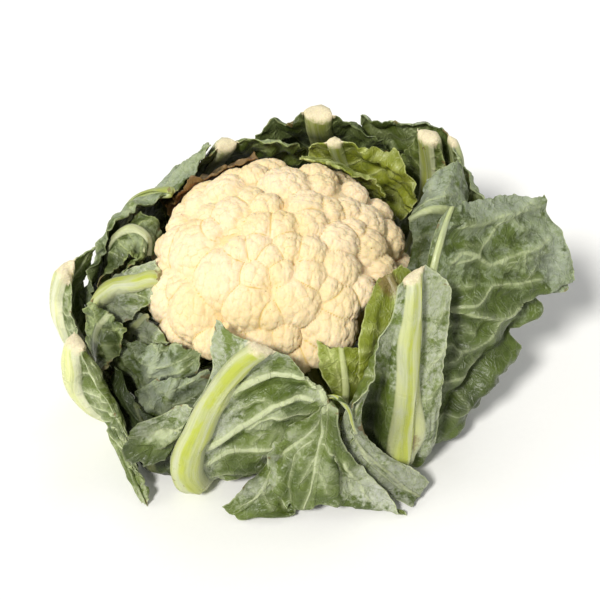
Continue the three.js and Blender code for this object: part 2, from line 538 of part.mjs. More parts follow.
// Moves a leaf's surface out until it lies clear of what is under it, then keeps it off the ground.
function drape(grid, cover) {
  const centre = new THREE.Vector3(0, 0, HEAD_CENTRE);
  const normals = normalsOf(grid);
  let push = grid.map((line, i) => line.map((station, j) => {
    const inner = station.point.clone().addScaledVector(normals[i][j], -insideOf(station));
    const out = Math.hypot(inner.x, inner.y);
    const beside = THREE.MathUtils.smoothstep(out, UNDER_HEAD, UNDER_HEAD + DRAPE_BLEND);
    return (inner.z > HIGH ? 1 : beside) * cover.need(inner);
  }));
  for (let round = 0; round < DRAPE_ROUNDS; round++) {
    push = push.map((line, i) => line.map((value, j) => {
      const near = [push[i - 1]?.[j], push[i + 1]?.[j], line[j - 1], line[j + 1]]
        .filter((x) => x !== undefined);
      return Math.max(value, near.reduce((a, b) => a + b, 0) / near.length);
    }));
  }
  grid.forEach((line, i) => line.forEach((station, j) => {
    const outward = station.point.clone().sub(centre).normalize();
    station.point.addScaledVector(outward, push[i][j]);
    const under = station.rib < 1 && normals[i][j].z < 0 ? outsideOf(station) : 0;
    const floor = GROUND + BLADE / 2 + under;
    const rise = station.point.z - floor;
    if (rise < SETTLE) station.point.z = floor + SETTLE * Math.exp((rise - SETTLE) / SETTLE);
  }));
}

// Half thicknesses of a leaf at a station, to its outer and inner face.
function ribShape(station) {
  return station.rib < 1 ? Math.sqrt(1 - station.rib ** 2) : 0;
}

function outsideOf(station) {
  return BLADE / 2 + 2 * station.half * RIB_OUT * ribShape(station);
}

function insideOf(station) {
  const rounded = THREE.MathUtils.smoothstep(station.end, STUB_START, 1);
  const share = THREE.MathUtils.lerp(RIB_IN, STUB_IN, rounded);
  return BLADE / 2 + 2 * station.half * share * ribShape(station);
}

// How far to move a point of a grid's edge, so that the edge stands out by one unit.
function edgeShift(grid, i, j) {
  const shift = new THREE.Vector3(), here = grid[i][j].point;
  const last = grid.length - 1, end = grid[0].length - 1;
  if (i === 0) shift.add(here.clone().sub(grid[1][j].point).normalize());
  if (i === last) shift.add(here.clone().sub(grid[last - 1][j].point).normalize());
  if (j === 0) shift.add(here.clone().sub(grid[i][1].point).normalize());
  if (j === end) shift.add(here.clone().sub(grid[i][end - 1].point).normalize());
  return shift;
}

// The closed solid of a sheet; extra thickens it on both faces and at its edges.
function solidSheet(grid, extra = 0) {
  const normals = normalsOf(grid), across = grid[0].length, half = grid.length * across;
  const corners = [];
  for (const [sign, depth] of [[1, outsideOf], [-1, insideOf]]) {
    grid.forEach((line, i) => line.forEach((station, j) => {
      const point = station.point.clone().addScaledVector(normals[i][j], sign * (depth(station) + extra))
        .addScaledVector(edgeShift(grid, i, j), extra);
      corners.push(point.x, point.y, Math.max(point.z, GROUND / 2));
    }));
  }
  const faces = [];
  const quad = (a, b, c, d) => faces.push(a, b, c, a, c, d);
  for (let i = 0; i + 1 < grid.length; i++) {
    for (let j = 0; j + 1 < across; j++) {
      const a = i * across + j, b = a + 1, c = b + across, d = a + across;
      quad(a, b, c, d);
      faces.push(half + a, half + c, half + b, half + a, half + d, half + c);
    }
    const left = i * across, right = left + across - 1;
    quad(left, left + across, half + left + across, half + left);
    quad(right + across, right, half + right, half + right + across);
  }
  const top = (grid.length - 1) * across;
  for (let j = 0; j + 1 < across; j++) {
    quad(j + 1, j, half + j, half + j + 1);
    quad(top + j, top + j + 1, half + top + j + 1, half + top + j);
  }
  return new wasm.Manifold(new wasm.Mesh({
    numProp: 3, vertProperties: new Float32Array(corners), triVerts: new Uint32Array(faces),
  }));
}

// Points spread over a solid's faces, for the map.
function samplesOf(solid) {
  const { vertProperties: v, triVerts: t } = solid.getMesh(), out = [];
  const at = (k) => new THREE.Vector3(v[3 * k], v[3 * k + 1], v[3 * k + 2]);
  for (let i = 0; i < t.length; i += 3) {
    const [a, b, c] = [at(t[i]), at(t[i + 1]), at(t[i + 2])];
    const longest = Math.max(a.distanceTo(b), b.distanceTo(c), c.distanceTo(a));
    const steps = Math.ceil(longest / SAMPLE_SPACING);
    for (let p = 0; p <= steps; p++) {
      for (let q = 0; p + q <= steps; q++) {
        out.push(a.clone().multiplyScalar(1 - (p + q) / steps).addScaledVector(b, p / steps)
          .addScaledVector(c, q / steps));
      }
    }
  }
  return out;
}

function geometryOf(solid) {
  const mesh = solid.getMesh();
  const geometry = new THREE.BufferGeometry();
  geometry.setAttribute("position", new THREE.BufferAttribute(new Float32Array(mesh.vertProperties), 3));
  geometry.setIndex(new THREE.BufferAttribute(new Uint32Array(mesh.triVerts), 1));
  geometry.computeVertexNormals();
  return geometry;
}

// ---- the curd ----
function domeRadius(elevation, inset = 0) {
  const rise = Math.sin(elevation) < 0 ? CURD_UNDERSIDE : CURD_RISE - inset;
  return 1 / Math.hypot(Math.cos(elevation) / (CURD_RADIUS - inset), Math.sin(elevation) / rise);
}

function direction(azimuth, elevation) {
  return new THREE.Vector3(
    Math.cos(elevation) * Math.cos(azimuth), Math.cos(elevation) * Math.sin(azimuth), Math.sin(elevation));
}

// The florets as spheres, each sunk into the dome.
function floretSpheres() {
  const sphere = (azimuth, elevation, radius) => {
    const sunk = domeRadius(Math.max(elevation, 0)) - LOBE_SINK * radius;
    return { centre: direction(azimuth, elevation).multiplyScalar(sunk), radius };
  };
  const spheres = LOBES.map(([azimuth, elevation, radius]) => (
    sphere(radians(azimuth), radians(elevation), radius)));
  for (let k = 0; k < FILL_COUNT; k++) {
    const elevation = Math.asin(1 - (FILL_SPREAD * (k + 0.5)) / FILL_COUNT);
    const radius = FILL_RADIUS * (1 + FILL_VARIES * Math.sin(k * FILL_BEAT));
    const next = sphere(k * GOLDEN_ANGLE, elevation, radius);
    const clear = spheres.every((s) => (
      s.centre.distanceTo(next.centre) > FILL_CROWDING * (s.radius + radius)));
    if (clear) spheres.push(next);
  }
  return spheres;
}

function curdGeometry() {
  const spheres = floretSpheres();
  const ball = new THREE.IcosahedronGeometry(1, CURD_DETAIL);
  ball.deleteAttribute("normal");
  ball.deleteAttribute("uv");
  const geometry = mergeVertices(ball, 1e-5), position = geometry.getAttribute("position");
  for (let i = 0; i < position.count; i++) {
    const way = new THREE.Vector3().fromBufferAttribute(position, i).normalize();
    let reach = domeRadius(Math.asin(way.z), CORE_INSET);
    for (const { centre, radius } of spheres) {
      const near = way.dot(centre), inside = near * near - centre.lengthSq() + radius * radius;
      if (inside > 0) reach = Math.max(reach, near + Math.sqrt(inside));
    }
    way.multiplyScalar(reach);
    position.setXYZ(i, way.x, way.y, Math.max(way.z, -CURD_UNDERSIDE) + CURD_CENTRE);
  }
  geometry.computeVertexNormals();
  return geometry;
}

function stalkGeometry() {
  const corners = [], faces = [], n = STALK_SIDES;
  for (const [radius, height] of STALK_PROFILE) {
    for (let k = 0; k < n; k++) {
      const a = (k / n) * 2 * Math.PI;
      corners.push(radius * Math.cos(a), radius * Math.sin(a), height);
    }
  }
  for (let i = 0; i + 1 < STALK_PROFILE.length; i++) {
    for (let k = 0; k < n; k++) {
      const a = i * n + k, b = i * n + ((k + 1) % n);
      faces.push(a, b, b + n, a, b + n, a + n);
    }
  }
  const top = (STALK_PROFILE.length - 1) * n;
  for (let k = 1; k + 1 < n; k++) faces.push(0, k + 1, k, top, top + k, top + k + 1);
  const geometry = new THREE.BufferGeometry();
  geometry.setAttribute("position", new THREE.Float32BufferAttribute(corners, 3));
  geometry.setIndex(faces);
  geometry.computeVertexNormals();
  return geometry;
}

function solidOf(geometry) {
  return new wasm.Manifold(new wasm.Mesh({
    numProp: 3, vertProperties: new Float32Array(geometry.getAttribute("position").array),
    triVerts: new Uint32Array(geometry.index.array),
  }));
}

function named(name, geometry, color, roughness) {
  const mesh = new THREE.Mesh(geometry, new THREE.MeshStandardMaterial({ color, roughness }));
  mesh.name = name;
  return mesh;
}

// Lays the leaves one over the next, from the innermost out, and trims what still touches.
function leafMeshes(curd) {
  const cover = new Cover(), laid = [curd];
  cover.lay(samplesOf(curd));
  return LEAVES.map(({ name, color, sheets, ruffle }, index) => {
    const grids = sheets.map((sheet, k) => middleSurface(sheet, index + SHEET_SEED * k, ruffle));
    grids.forEach((grid) => drape(grid, cover));
    const union = (extra) => wasm.Manifold.union(grids.map((grid) => solidSheet(grid, extra)));
    let solid = union(0);
    for (const thick of laid) {
      if (solid.intersect(thick).volume() < TRIM_FROM) continue;
      solid = solid.subtract(thick).decompose().sort((a, b) => b.volume() - a.volume())[0];
    }
    laid.push(union(CLEARANCE));
    cover.lay(samplesOf(solid));
    return named(name, geometryOf(solid), color, LEAF_ROUGHNESS);
  });
}

const curd = curdGeometry();
const head = new THREE.Group();
head.name = "cauliflower";
head.add(named("curd", curd, CREAM, CURD_ROUGHNESS));
head.add(named("stalk", stalkGeometry(), STALK_GREEN, LEAF_ROUGHNESS));
head.add(...leafMeshes(solidOf(curd)));

export default head;
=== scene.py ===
"""Dresses a trimmed cauliflower: a granular ivory curd on a cut stalk, nested in ribbed and waxy leaves."""

import logging
import math
from dataclasses import dataclass, field, replace
from enum import Enum

import bpy
import numpy as np
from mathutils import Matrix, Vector
from mathutils.kdtree import KDTree


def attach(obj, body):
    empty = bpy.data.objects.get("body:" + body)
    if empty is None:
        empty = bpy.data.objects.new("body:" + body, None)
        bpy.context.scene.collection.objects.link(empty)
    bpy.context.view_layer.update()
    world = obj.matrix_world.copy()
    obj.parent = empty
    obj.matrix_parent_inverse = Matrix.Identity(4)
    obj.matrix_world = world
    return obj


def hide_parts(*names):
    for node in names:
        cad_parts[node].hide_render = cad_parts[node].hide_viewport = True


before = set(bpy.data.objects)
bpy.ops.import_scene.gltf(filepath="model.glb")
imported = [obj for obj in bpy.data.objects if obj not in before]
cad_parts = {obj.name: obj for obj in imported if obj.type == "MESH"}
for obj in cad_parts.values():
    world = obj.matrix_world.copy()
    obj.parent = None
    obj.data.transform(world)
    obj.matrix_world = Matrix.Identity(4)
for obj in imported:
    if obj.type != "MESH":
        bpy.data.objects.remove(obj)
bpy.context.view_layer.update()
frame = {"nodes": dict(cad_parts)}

LOG = logging.getLogger("cauliflower")
MM = 0.001

Polar = tuple[float, float, float]
Socket = bpy.types.NodeSocket
Colour = tuple[float, float, float]


class Slot(Enum):
    """The material slots that the head's pieces take their finish from."""

    CURD = "curd"
    STALK = "stalk"
    PALE = "leaf_pale"
    GREEN = "leaf_green"
    BLOOM = "leaf_bloom"
    DARK = "leaf_dark"
    DRY = "leaf_dry"


# ---------------------------------------------------------------- sums

def srgb(code: str) -> Colour:
    """Returns the linear colour of a six-digit sRGB code."""
    parts = [int(code[i:i + 2], 16) / 255 for i in (0, 2, 4)]
    return tuple(c / 12.92 if c <= 0.04045 else ((c + 0.055) / 1.055) ** 2.4 for c in parts)


def smooth(value: np.ndarray | float, low: float, high: float) -> np.ndarray | float:
    """Returns 0 below low, 1 above high and a smooth step between them."""
    t = np.clip((value - low) / (high - low), 0, 1)
    return t * t * (3 - 2 * t)


def wave(seed: float, t: np.ndarray | float) -> np.ndarray | float:
    """Returns a repeatable wave made of a few sines, between about -1 and 1."""
    return (0.55 * np.sin(t + seed * 2.4) + 0.3 * np.sin(2.3 * t + seed * 5.1)
            + 0.2 * np.sin(4.1 * t + seed * 1.7))


def to_points(polar: np.ndarray) -> np.ndarray:
    """Returns the points of an array of polar ones, each azimuth in degrees, radius and height."""
    a = np.radians(polar[..., 0])
    return np.stack([polar[..., 1] * np.cos(a), polar[..., 1] * np.sin(a), polar[..., 2]], axis=-1)


def unit(vectors: np.ndarray) -> np.ndarray:
    """Returns the vectors at unit length."""
    return vectors / np.maximum(np.linalg.norm(vectors, axis=-1, keepdims=True), 1e-9)


def slopes_of(values: np.ndarray, knots: np.ndarray) -> np.ndarray:
    """Finds the slopes of a smooth curve at its knots.

    Args:
        values: The values at the knots, along the second axis from the end.
        knots: The knots, along the last axis, one set or a set for each row of values.

    Returns:
        The slopes, in the shape of values.
    """
    gap = np.diff(knots, axis=-1)[..., None]
    rise = np.diff(values, axis=-2) / gap
    before, after = gap[..., :-1, :], gap[..., 1:, :]
    inner = (rise[..., :-1, :] * after + rise[..., 1:, :] * before) / (before + after)
    return np.concatenate([rise[..., :1, :], inner, rise[..., -1:, :]], axis=-2)


def hermite(ends: tuple[np.ndarray, np.ndarray], slopes: tuple[np.ndarray, np.ndarray],
            gap: np.ndarray, share: np.ndarray) -> np.ndarray:
    """Returns the cubic between two ends with the given slopes, at a share of the gap.

    Args:
        ends: The values at the start and end.
        slopes: The slopes there.
        gap: The length between them.
        share: The share of it, 0 at the start and 1 at the end.

    Returns:
        The values between.
    """
    back = 1 - share
    return ((1 + 2 * share) * back ** 2 * ends[0] + share * back ** 2 * gap * slopes[0]
            + share ** 2 * (3 - 2 * share) * ends[1] - share ** 2 * back * gap * slopes[1])


def curve_through(values: np.ndarray, knots: np.ndarray, at: np.ndarray) -> np.ndarray:
    """Evaluates a smooth curve.

    Args:
        values: Points that the curve passes through, along the first axis.
        knots: The place of each point on the curve.
        at: Places to evaluate the curve at.

    Returns:
        The curve's points.
    """
    flat = values.reshape(len(values), -1)
    slopes = slopes_of(flat, knots)
    i = np.clip(np.searchsorted(knots, at, side="left") - 1, 0, len(knots) - 2)
    gap = (knots[i + 1] - knots[i])[:, None]
    share = (at - knots[i])[:, None] / gap
    out = hermite((flat[i], flat[i + 1]), (slopes[i], slopes[i + 1]), gap, share)
    return out.reshape((len(at),) + values.shape[1:])


def knots_of(polar: np.ndarray) -> np.ndarray:
    """Returns the distances along a run of polar points, from 0."""
    steps = np.maximum(0.5, np.linalg.norm(np.diff(to_points(polar), axis=0), axis=1))
    return np.concatenate([[0], np.cumsum(steps)])


def normals_of(points: np.ndarray) -> np.ndarray:
    """Returns a net's unit normals, which point to the leaf's outer face.

    Args:
        points: The net's points, by row and column.

    Returns:
        The normals, in the same order.
    """
    tall = np.concatenate([points[:1], points, points[-1:]], axis=0)
    along = tall[2:] - tall[:-2]
    wide = np.concatenate([points[:, :1], points, points[:, -1:]], axis=1)
    across = wide[:, 2:] - wide[:, :-2]
    return unit(np.cross(across, along))


class Roughness:
    """Smooth seeded noise in space, as a sum of plane waves at a few scales."""

    def __init__(self, seed: int, wavelength: float, waves: int = 12) -> None:
        """Draws the waves.

        Args:
            seed: The seed of the draw.
            wavelength: The mean distance between crests.
            waves: How many waves are summed.
        """
        rng = np.random.default_rng(seed)
        self.ways = unit(rng.normal(size=(waves, 3))) * (
            2 * math.pi / wavelength * rng.uniform(0.6, 1.5, (waves, 1)))
        self.phases = rng.uniform(0, 2 * math.pi, waves)

    def at(self, points: np.ndarray) -> np.ndarray:
        """Returns the noise at the points, mostly between -1 and 1."""
        return np.sin(points @ self.ways.T + self.phases).sum(axis=-1) / math.sqrt(len(self.phases))


# ---------------------------------------------------------------- finishes

class Graph:
    """A material's nodes, put together by short calls. Lengths in it are millimetres."""

    def __init__(self, name: str) -> None:
        """Starts a material that holds one shader.

        Args:
            name: The material's name.
        """
        self.material = bpy.data.materials.new(name)
        self.material.use_nodes = True
        self.tree = self.material.node_tree
        self.tree.nodes.clear()
        self.shader = self.add("ShaderNodeBsdfPrincipled")
        output = self.add("ShaderNodeOutputMaterial")
        self.tree.links.new(self.shader.outputs[0], output.inputs["Surface"])
        self.place = self.stretch(self.add("ShaderNodeTexCoord").outputs["Object"], (1 / MM,) * 3)

    def add(self, kind: str, **settings: object) -> bpy.types.Node:
        """Returns a new node of a kind, with its settings made.

        Args:
            kind: Blender's name of the node's type.
            **settings: The node's own settings, by name.

        Returns:
            The node.
        """
        node = self.tree.nodes.new(kind)
        for name, value in settings.items():
            setattr(node, name, value)
        return node

    def feed(self, socket: Socket, value: Socket | float | tuple) -> None:
        """Links a socket to another, or sets its value.

        Args:
            socket: The socket to feed.
            value: The other socket, or a number or colour.
        """
        if isinstance(value, bpy.types.NodeSocket):
            self.tree.links.new(value, socket)
        elif isinstance(value, tuple) and len(socket.default_value) == 4:
            socket.default_value = (*value, 1)
        else:
            socket.default_value = value

    def stretch(self, at: Socket, by: tuple[float, float, float]) -> Socket:
        """Returns a place scaled along its axes.

        Args:
            at: The place.
            by: How much, along each axis.

        Returns:
            The scaled place.
        """
        node = self.add("ShaderNodeVectorMath", operation="MULTIPLY")
        self.feed(node.inputs[0], at)
        node.inputs[1].default_value = by
        return node.outputs[0]

    def shift(self, at: Socket, by: Socket, much: float) -> Socket:
        """Returns a place moved by a colour's difference from grey, times a length.

        Args:
            at: The place.
            by: The colour.
            much: The length.

        Returns:
            The moved place.
        """
        centred = self.add("ShaderNodeVectorMath", operation="SUBTRACT")
        self.feed(centred.inputs[0], by)
        centred.inputs[1].default_value = (0.5, 0.5, 0.5)
        moved = self.add("ShaderNodeVectorMath", operation="MULTIPLY_ADD")
        self.feed(moved.inputs[0], centred.outputs[0])
        moved.inputs[1].default_value = (much,) * 3
        self.feed(moved.inputs[2], at)
        return moved.outputs[0]

    def reading(self, name: str) -> Socket:
        """Returns a number kept at the mesh's vertices."""
        return self.add("ShaderNodeAttribute", attribute_name=name).outputs["Fac"]

    def vector(self, name: str) -> Socket:
        """Returns a vector kept at the mesh's vertices."""
        return self.add("ShaderNodeAttribute", attribute_name=name).outputs["Vector"]

    def math(self, operation: str, a: Socket | float, b: Socket | float = 0.0) -> Socket:
        """Returns the result of a sum on two numbers.

        Args:
            operation: Blender's name of the sum.
            a: The first number.
            b: The second one.

        Returns:
            The result.
        """
        node = self.add("ShaderNodeMath", operation=operation)
        self.feed(node.inputs[0], a)
        self.feed(node.inputs[1], b)
        return node.outputs[0]

    def step(self, value: Socket, low: float, high: float, to: tuple[float, float] = (0, 1)) -> Socket:
        """Returns a smooth step of a number from one end of a range to the other.

        Args:
            value: The number.
            low: Where the step starts.
            high: Where it ends, which may lie below its start.
            to: The results at the start and end.

        Returns:
            The result.
        """
        node = self.add("ShaderNodeMapRange", interpolation_type="SMOOTHSTEP")
        for socket, given in zip(node.inputs, (value, low, high, *to)):
            self.feed(socket, given)
        return node.outputs[0]

    def mix(self, share: Socket | float, a: Socket | Colour, b: Socket | Colour,
            blend: str = "MIX") -> Socket:
        """Returns a mix of two colours.

        Args:
            share: The second colour's share.
            a: The first colour.
            b: The second one.
            blend: Blender's name of the way they mix.

        Returns:
            The mixed colour.
        """
        node = self.add("ShaderNodeMix", data_type="RGBA", blend_type=blend)
        self.feed(node.inputs[0], share)
        self.feed(node.inputs[6], a)
        self.feed(node.inputs[7], b)
        return node.outputs[2]

    def noise(self, at: Socket, size: float, detail: float = 3, rough: float = 0.5,
              bend: float = 0) -> bpy.types.Node:
        """Returns a noise node whose patches are about a size across.

        Args:
            at: Where the noise is read.
            size: The size of a patch.
            detail: How many finer layers it has.
            rough: How strong they are.
            bend: How far it is warped.

        Returns:
            The node, with its value and its colour.
        """
        node = self.add("ShaderNodeTexNoise")
        for name, given in (("Vector", at), ("Scale", 1 / size), ("Detail", detail),
                            ("Roughness", rough), ("Distortion", bend)):
            self.feed(node.inputs[name], given)
        return node

    def cells(self, at: Socket, size: float, feature: str = "DISTANCE_TO_EDGE") -> Socket:
        """Returns a cell pattern's distance, in shares of a cell about a size across.

        Args:
            at: Where the pattern is read.
            size: The size of a cell.
            feature: Blender's name of the distance that is read.

        Returns:
            The distance.
        """
        node = self.add("ShaderNodeTexVoronoi", feature=feature)
        self.feed(node.inputs["Vector"], at)
        node.inputs["Scale"].default_value = 1 / size
        return node.outputs["Distance"]

    def bump(self, height: Socket, depth: float, under: Socket | None = None) -> Socket:
        """Returns the normal of a relief that is depth deep where height goes from 0 to 1.

        Args:
            height: The relief's height.
            depth: How deep it is.
            under: The normal of a coarser relief under it.

        Returns:
            The normal.
        """
        node = self.add("ShaderNodeBump")
        node.inputs["Strength"].default_value = 1
        node.inputs["Distance"].default_value = depth * MM
        self.feed(node.inputs["Height"], height)
        if under is not None:
            self.feed(node.inputs["Normal"], under)
        return node.outputs[0]

    def finish(self, colour: Socket, roughness: Socket | float, normal: Socket,
               **values: float | tuple) -> bpy.types.Material:
        """Feeds the shader.

        Args:
            colour: The surface's colour.
            roughness: Its roughness.
            normal: Its normal.
            **values: Values set on the shader's own sockets, by name with _ for a space.

        Returns:
            The material.
        """
        self.feed(self.shader.inputs["Base Color"], colour)
        self.feed(self.shader.inputs["Roughness"], roughness)
        self.feed(self.shader.inputs["Normal"], normal)
        for name, value in values.items():
            self.feed(self.shader.inputs[name.replace("_", " ")], value)
        return self.material


@dataclass(frozen=True)
class CurdFinish:
    """The curd: matt ivory grains, yellow in the seams between florets, partly their own tone and partly
    painted crease shade, with painted shade in ochre where they lie deep and in olive-brown down the lower
    side.
    """

    ivory: Colour = srgb("eedab6")
    warm: Colour = srgb("e9d3a2")
    # seam: the seams' yellow, partly their own tone and partly painted crease shade
    seam: Colour = srgb("d2b466")
    # painted shade: the ochre laid in deep creases
    deep: Colour = srgb("a8802c")
    shaded: Colour = srgb("7d6a26")
    speck: Colour = srgb("8a6a30")

    def build(self) -> bpy.types.Material:
        """Returns the material."""
        g = Graph("curd_ivory")
        drift = g.noise(g.place, 26, 3).outputs["Fac"]
        colour = g.mix(g.step(drift, 0.35, 0.7), self.ivory, self.warm)
        grain = g.reading("grain_seam")
        # warmer in the grain seams: partly their own tone, partly painted crease shade
        colour = g.mix(g.math("MULTIPLY", g.step(grain, 0.15, 1), 0.35), colour, self.warm)
        # yellow in the lobe and floret seams: partly their own tone, partly painted crease shade
        patchy = g.step(g.noise(g.place, 9, 2).outputs["Fac"], 0.36, 0.6)
        lobe = g.math("MULTIPLY", g.step(g.reading("lobe_seam"), 0.35, 1), patchy)
        colour = g.mix(g.math("MULTIPLY", lobe, 0.5), colour, self.seam)
        floret = g.math("MULTIPLY", g.step(g.reading("floret_seam"), 0.3, 1), g.math("ADD", patchy, 0.35))
        colour = g.mix(g.math("MINIMUM", floret, 0.8), colour, self.seam)
        # painted shade: ochre where the surface lies sunk deep below the dome
        colour = g.mix(g.step(g.reading("depth"), 0.3, 1.0, (0, 0.75)), colour, self.deep)
        # painted shade: olive-brown down the curd's lower side and underside
        colour = g.mix(g.step(g.reading("hidden"), 0.0, 1), colour, self.shaded)
        spots = g.step(g.cells(g.place, 7.5, "F1"), 0.02, 0.085, (1, 0))
        rare = g.step(g.noise(g.place, 13, 1).outputs["Fac"], 0.52, 0.6)
        colour = g.mix(g.math("MULTIPLY", spots, g.math("MULTIPLY", rare, 0.8)), colour, self.speck)
        fine = g.cells(g.place, 1.1, "SMOOTH_F1")
        dust = g.noise(g.place, 0.5, 3, 0.6).outputs["Fac"]
        normal = g.bump(fine, -0.22, g.bump(dust, 0.12))
        rough = g.step(dust, 0.3, 0.7, (0.62, 0.82))
        return g.finish(colour, rough, normal, Subsurface_Weight=0.3, Subsurface_Radius=(1.0, 0.6, 0.25),
                        Subsurface_Scale=1.6 * MM, Specular_IOR_Level=0.3)


@dataclass(frozen=True)
class StalkFinish:
    """The stalk: pale green skin with leaf scars over a cream, ringed and fibrous cut face."""

    skin: Colour = srgb("cfd2a0")
    scar: Colour = srgb("a89a68")
    pith: Colour = srgb("ece2bd")
    ring: Colour = srgb("b9b27c")

    def build(self) -> bpy.types.Material:
        """Returns the material."""
        g = Graph("stalk_cut")
        drift = g.noise(g.place, 8, 4).outputs["Fac"]
        colour = g.mix(g.step(drift, 0.45, 0.7), self.skin, self.scar)
        cut = g.reading("cut")
        fibres = g.cells(g.place, 0.9, "F1")
        face = g.mix(g.step(fibres, 0.2, 0.7), self.pith, self.ring)
        face = g.mix(g.reading("ring"), face, self.ring)
        colour = g.mix(cut, colour, face)
        normal = g.bump(fibres, -0.15, g.bump(drift, 0.6))
        return g.finish(colour, g.step(drift, 0.3, 0.7, (0.5, 0.75)), normal,
                        Subsurface_Weight=0.15, Subsurface_Radius=(1.0, 0.7, 0.35),
                        Subsurface_Scale=2 * MM)


@dataclass(frozen=True)
class LeafFinish:
    """A leaf: a green blade under a waxy bloom, with pale veins, a streaked rib and tan cut ends, and painted
    shade where other leaves lie over it and in marked hollows.
    """

    name: str
    bloom: Colour
    thin: Colour
    green: Colour
    deep: Colour
    inner: Colour
    vein: Colour
    rib: Colour
    streak: Colour
    bloom_share: float = 0.6
    net: float = 0.2
    dry: float = 0.1
    gloss: float = 0.38
    painted_cover_shade_strength: float = 0.55
    tan: Colour = srgb("efe3c0")
    brown: Colour = srgb("7a6238")
    # painted shade: the near-black green laid where other leaves cover the blade and in shade patches
    hollow: Colour = srgb("222b12")

    def build(self) -> bpy.types.Material:
        """Returns the material."""
        g = Graph("leaf_" + self.name)
        leaf = g.vector("leaf")
        outer, wax = g.reading("outer"), g.reading("wax")
        patches = g.noise(g.place, 15, 4, 0.62, 0.5).outputs["Fac"]
        fine = g.noise(g.place, 2.4, 4, 0.65).outputs["Fac"]
        line = 0.5 + (0.5 - self.bloom_share) * 0.5
        level = g.math("ADD", patches, g.math("MULTIPLY", g.math("SUBTRACT", fine, 0.5), 0.3))
        level = g.math("ADD", level, g.math("MULTIPLY", g.math("SUBTRACT", wax, 0.5), 0.6))
        mask = g.step(level, line - 0.07, line + 0.07)
        rubbed = g.noise(g.stretch(leaf, (0.45, 1.1, 1)), 3.6, 4, 0.68).outputs["Fac"]
        mask = g.math("MULTIPLY", mask, g.step(rubbed, 0.56, 0.66, (1, 0.45)))
        blade = g.mix(g.step(g.noise(g.place, 18, 3).outputs["Fac"], 0.35, 0.65), self.green, self.deep)
        thick = g.step(g.math("ADD", wax, g.math("SUBTRACT", fine, 0.5)), 0.2, 0.9)
        bloomed = g.mix(thick, self.thin, self.bloom)
        face = g.mix(mask, blade, bloomed)
        under = g.mix(g.step(patches, 0.3, 0.7), self.inner, self.deep)
        colour = g.mix(outer, under, face)
        colour, net_height = self._net(g, leaf, colour)
        colour, vein_height = self._veins(g, leaf, colour)
        colour, rib_height, rib = self._rib(g, leaf, colour)
        net_height = g.math("MULTIPLY", net_height, g.step(rib, 0, 1, (1, 0)))
        colour = self._margin(g, colour, patches)
        colour = self._bruise(g, colour)
        # painted shade: dark where other leaves reach out over the outer face, and in shade patches
        painted_cover_shade = g.math("MULTIPLY", g.math("MULTIPLY", g.reading("painted_cover_shade"), outer), self.painted_cover_shade_strength)
        shaded = g.math("MAXIMUM", painted_cover_shade, g.math("MULTIPLY", g.reading("shade"), 0.85))
        colour = g.mix(shaded, colour, self.hollow)
        colour, cut = self._cut(g, leaf, colour)
        pores = g.noise(g.place, 0.7, 2).outputs["Fac"]
        normal = g.bump(net_height, 0.3, g.bump(vein_height, 0.2, g.bump(rib_height, 0.35)))
        normal = g.bump(pores, 0.1, normal)
        dull = g.math("MULTIPLY", mask, outer)
        rough = g.step(dull, 0, 1, (self.gloss, 0.6))
        rough = g.math("MAXIMUM", g.math("MULTIPLY", rough, g.step(rib, 0, 1, (1, 0.72))),
                       g.math("MULTIPLY", cut, 0.8))
        return g.finish(colour, rough, normal, Subsurface_Weight=0.1,
                        Subsurface_Radius=(0.7, 1.0, 0.25), Subsurface_Scale=1.0 * MM,
                        Specular_IOR_Level=0.42)

    def _net(self, g: Graph, leaf: Socket, colour: Socket) -> tuple[Socket, Socket]:
        """Lays the net of small veins over a colour.

        Args:
            g: The material's nodes.
            leaf: The place on the leaf.
            colour: The blade's colour.

        Returns:
            The colour with the net, and the net's height.
        """
        bent = g.shift(leaf, g.noise(leaf, 9, 3).outputs["Color"], 11)
        coarse = g.step(g.cells(g.stretch(bent, (0.7, 1, 1)), 7.5), 0.0, 0.085, (1, 0))
        fine = g.step(g.cells(bent, 2.6), 0.0, 0.16, (1, 0))
        lines = g.math("MAXIMUM", coarse, g.math("MULTIPLY", fine, 0.4))
        patchy = g.step(g.noise(g.place, 11, 2).outputs["Fac"], 0.35, 0.65, (0.25, 1))
        seen = g.math("MULTIPLY", g.math("MULTIPLY", lines, patchy), self.net)
        return g.mix(seen, colour, self.vein), lines

    def _veins(self, g: Graph, leaf: Socket, colour: Socket) -> tuple[Socket, Socket]:
        """Lays the raised side veins over a colour.

        Args:
            g: The material's nodes.
            leaf: The place on the leaf.
            colour: The blade's colour.

        Returns:
            The colour with the veins, and their height.
        """
        wobble = g.math("MULTIPLY", g.math("SUBTRACT", g.noise(leaf, 2, 2).outputs["Fac"], 0.5), 0.5)
        gap = g.math("ADD", g.reading("vein_gap"), wobble)
        core = g.step(gap, -0.5, 0.5, (1, 0))
        halo = g.math("MULTIPLY", g.step(gap, 0, 2.4, (1, 0)), 0.22)
        share = g.math("MAXIMUM", g.math("MULTIPLY", core, 0.8), halo)
        return g.mix(share, colour, self.vein), core

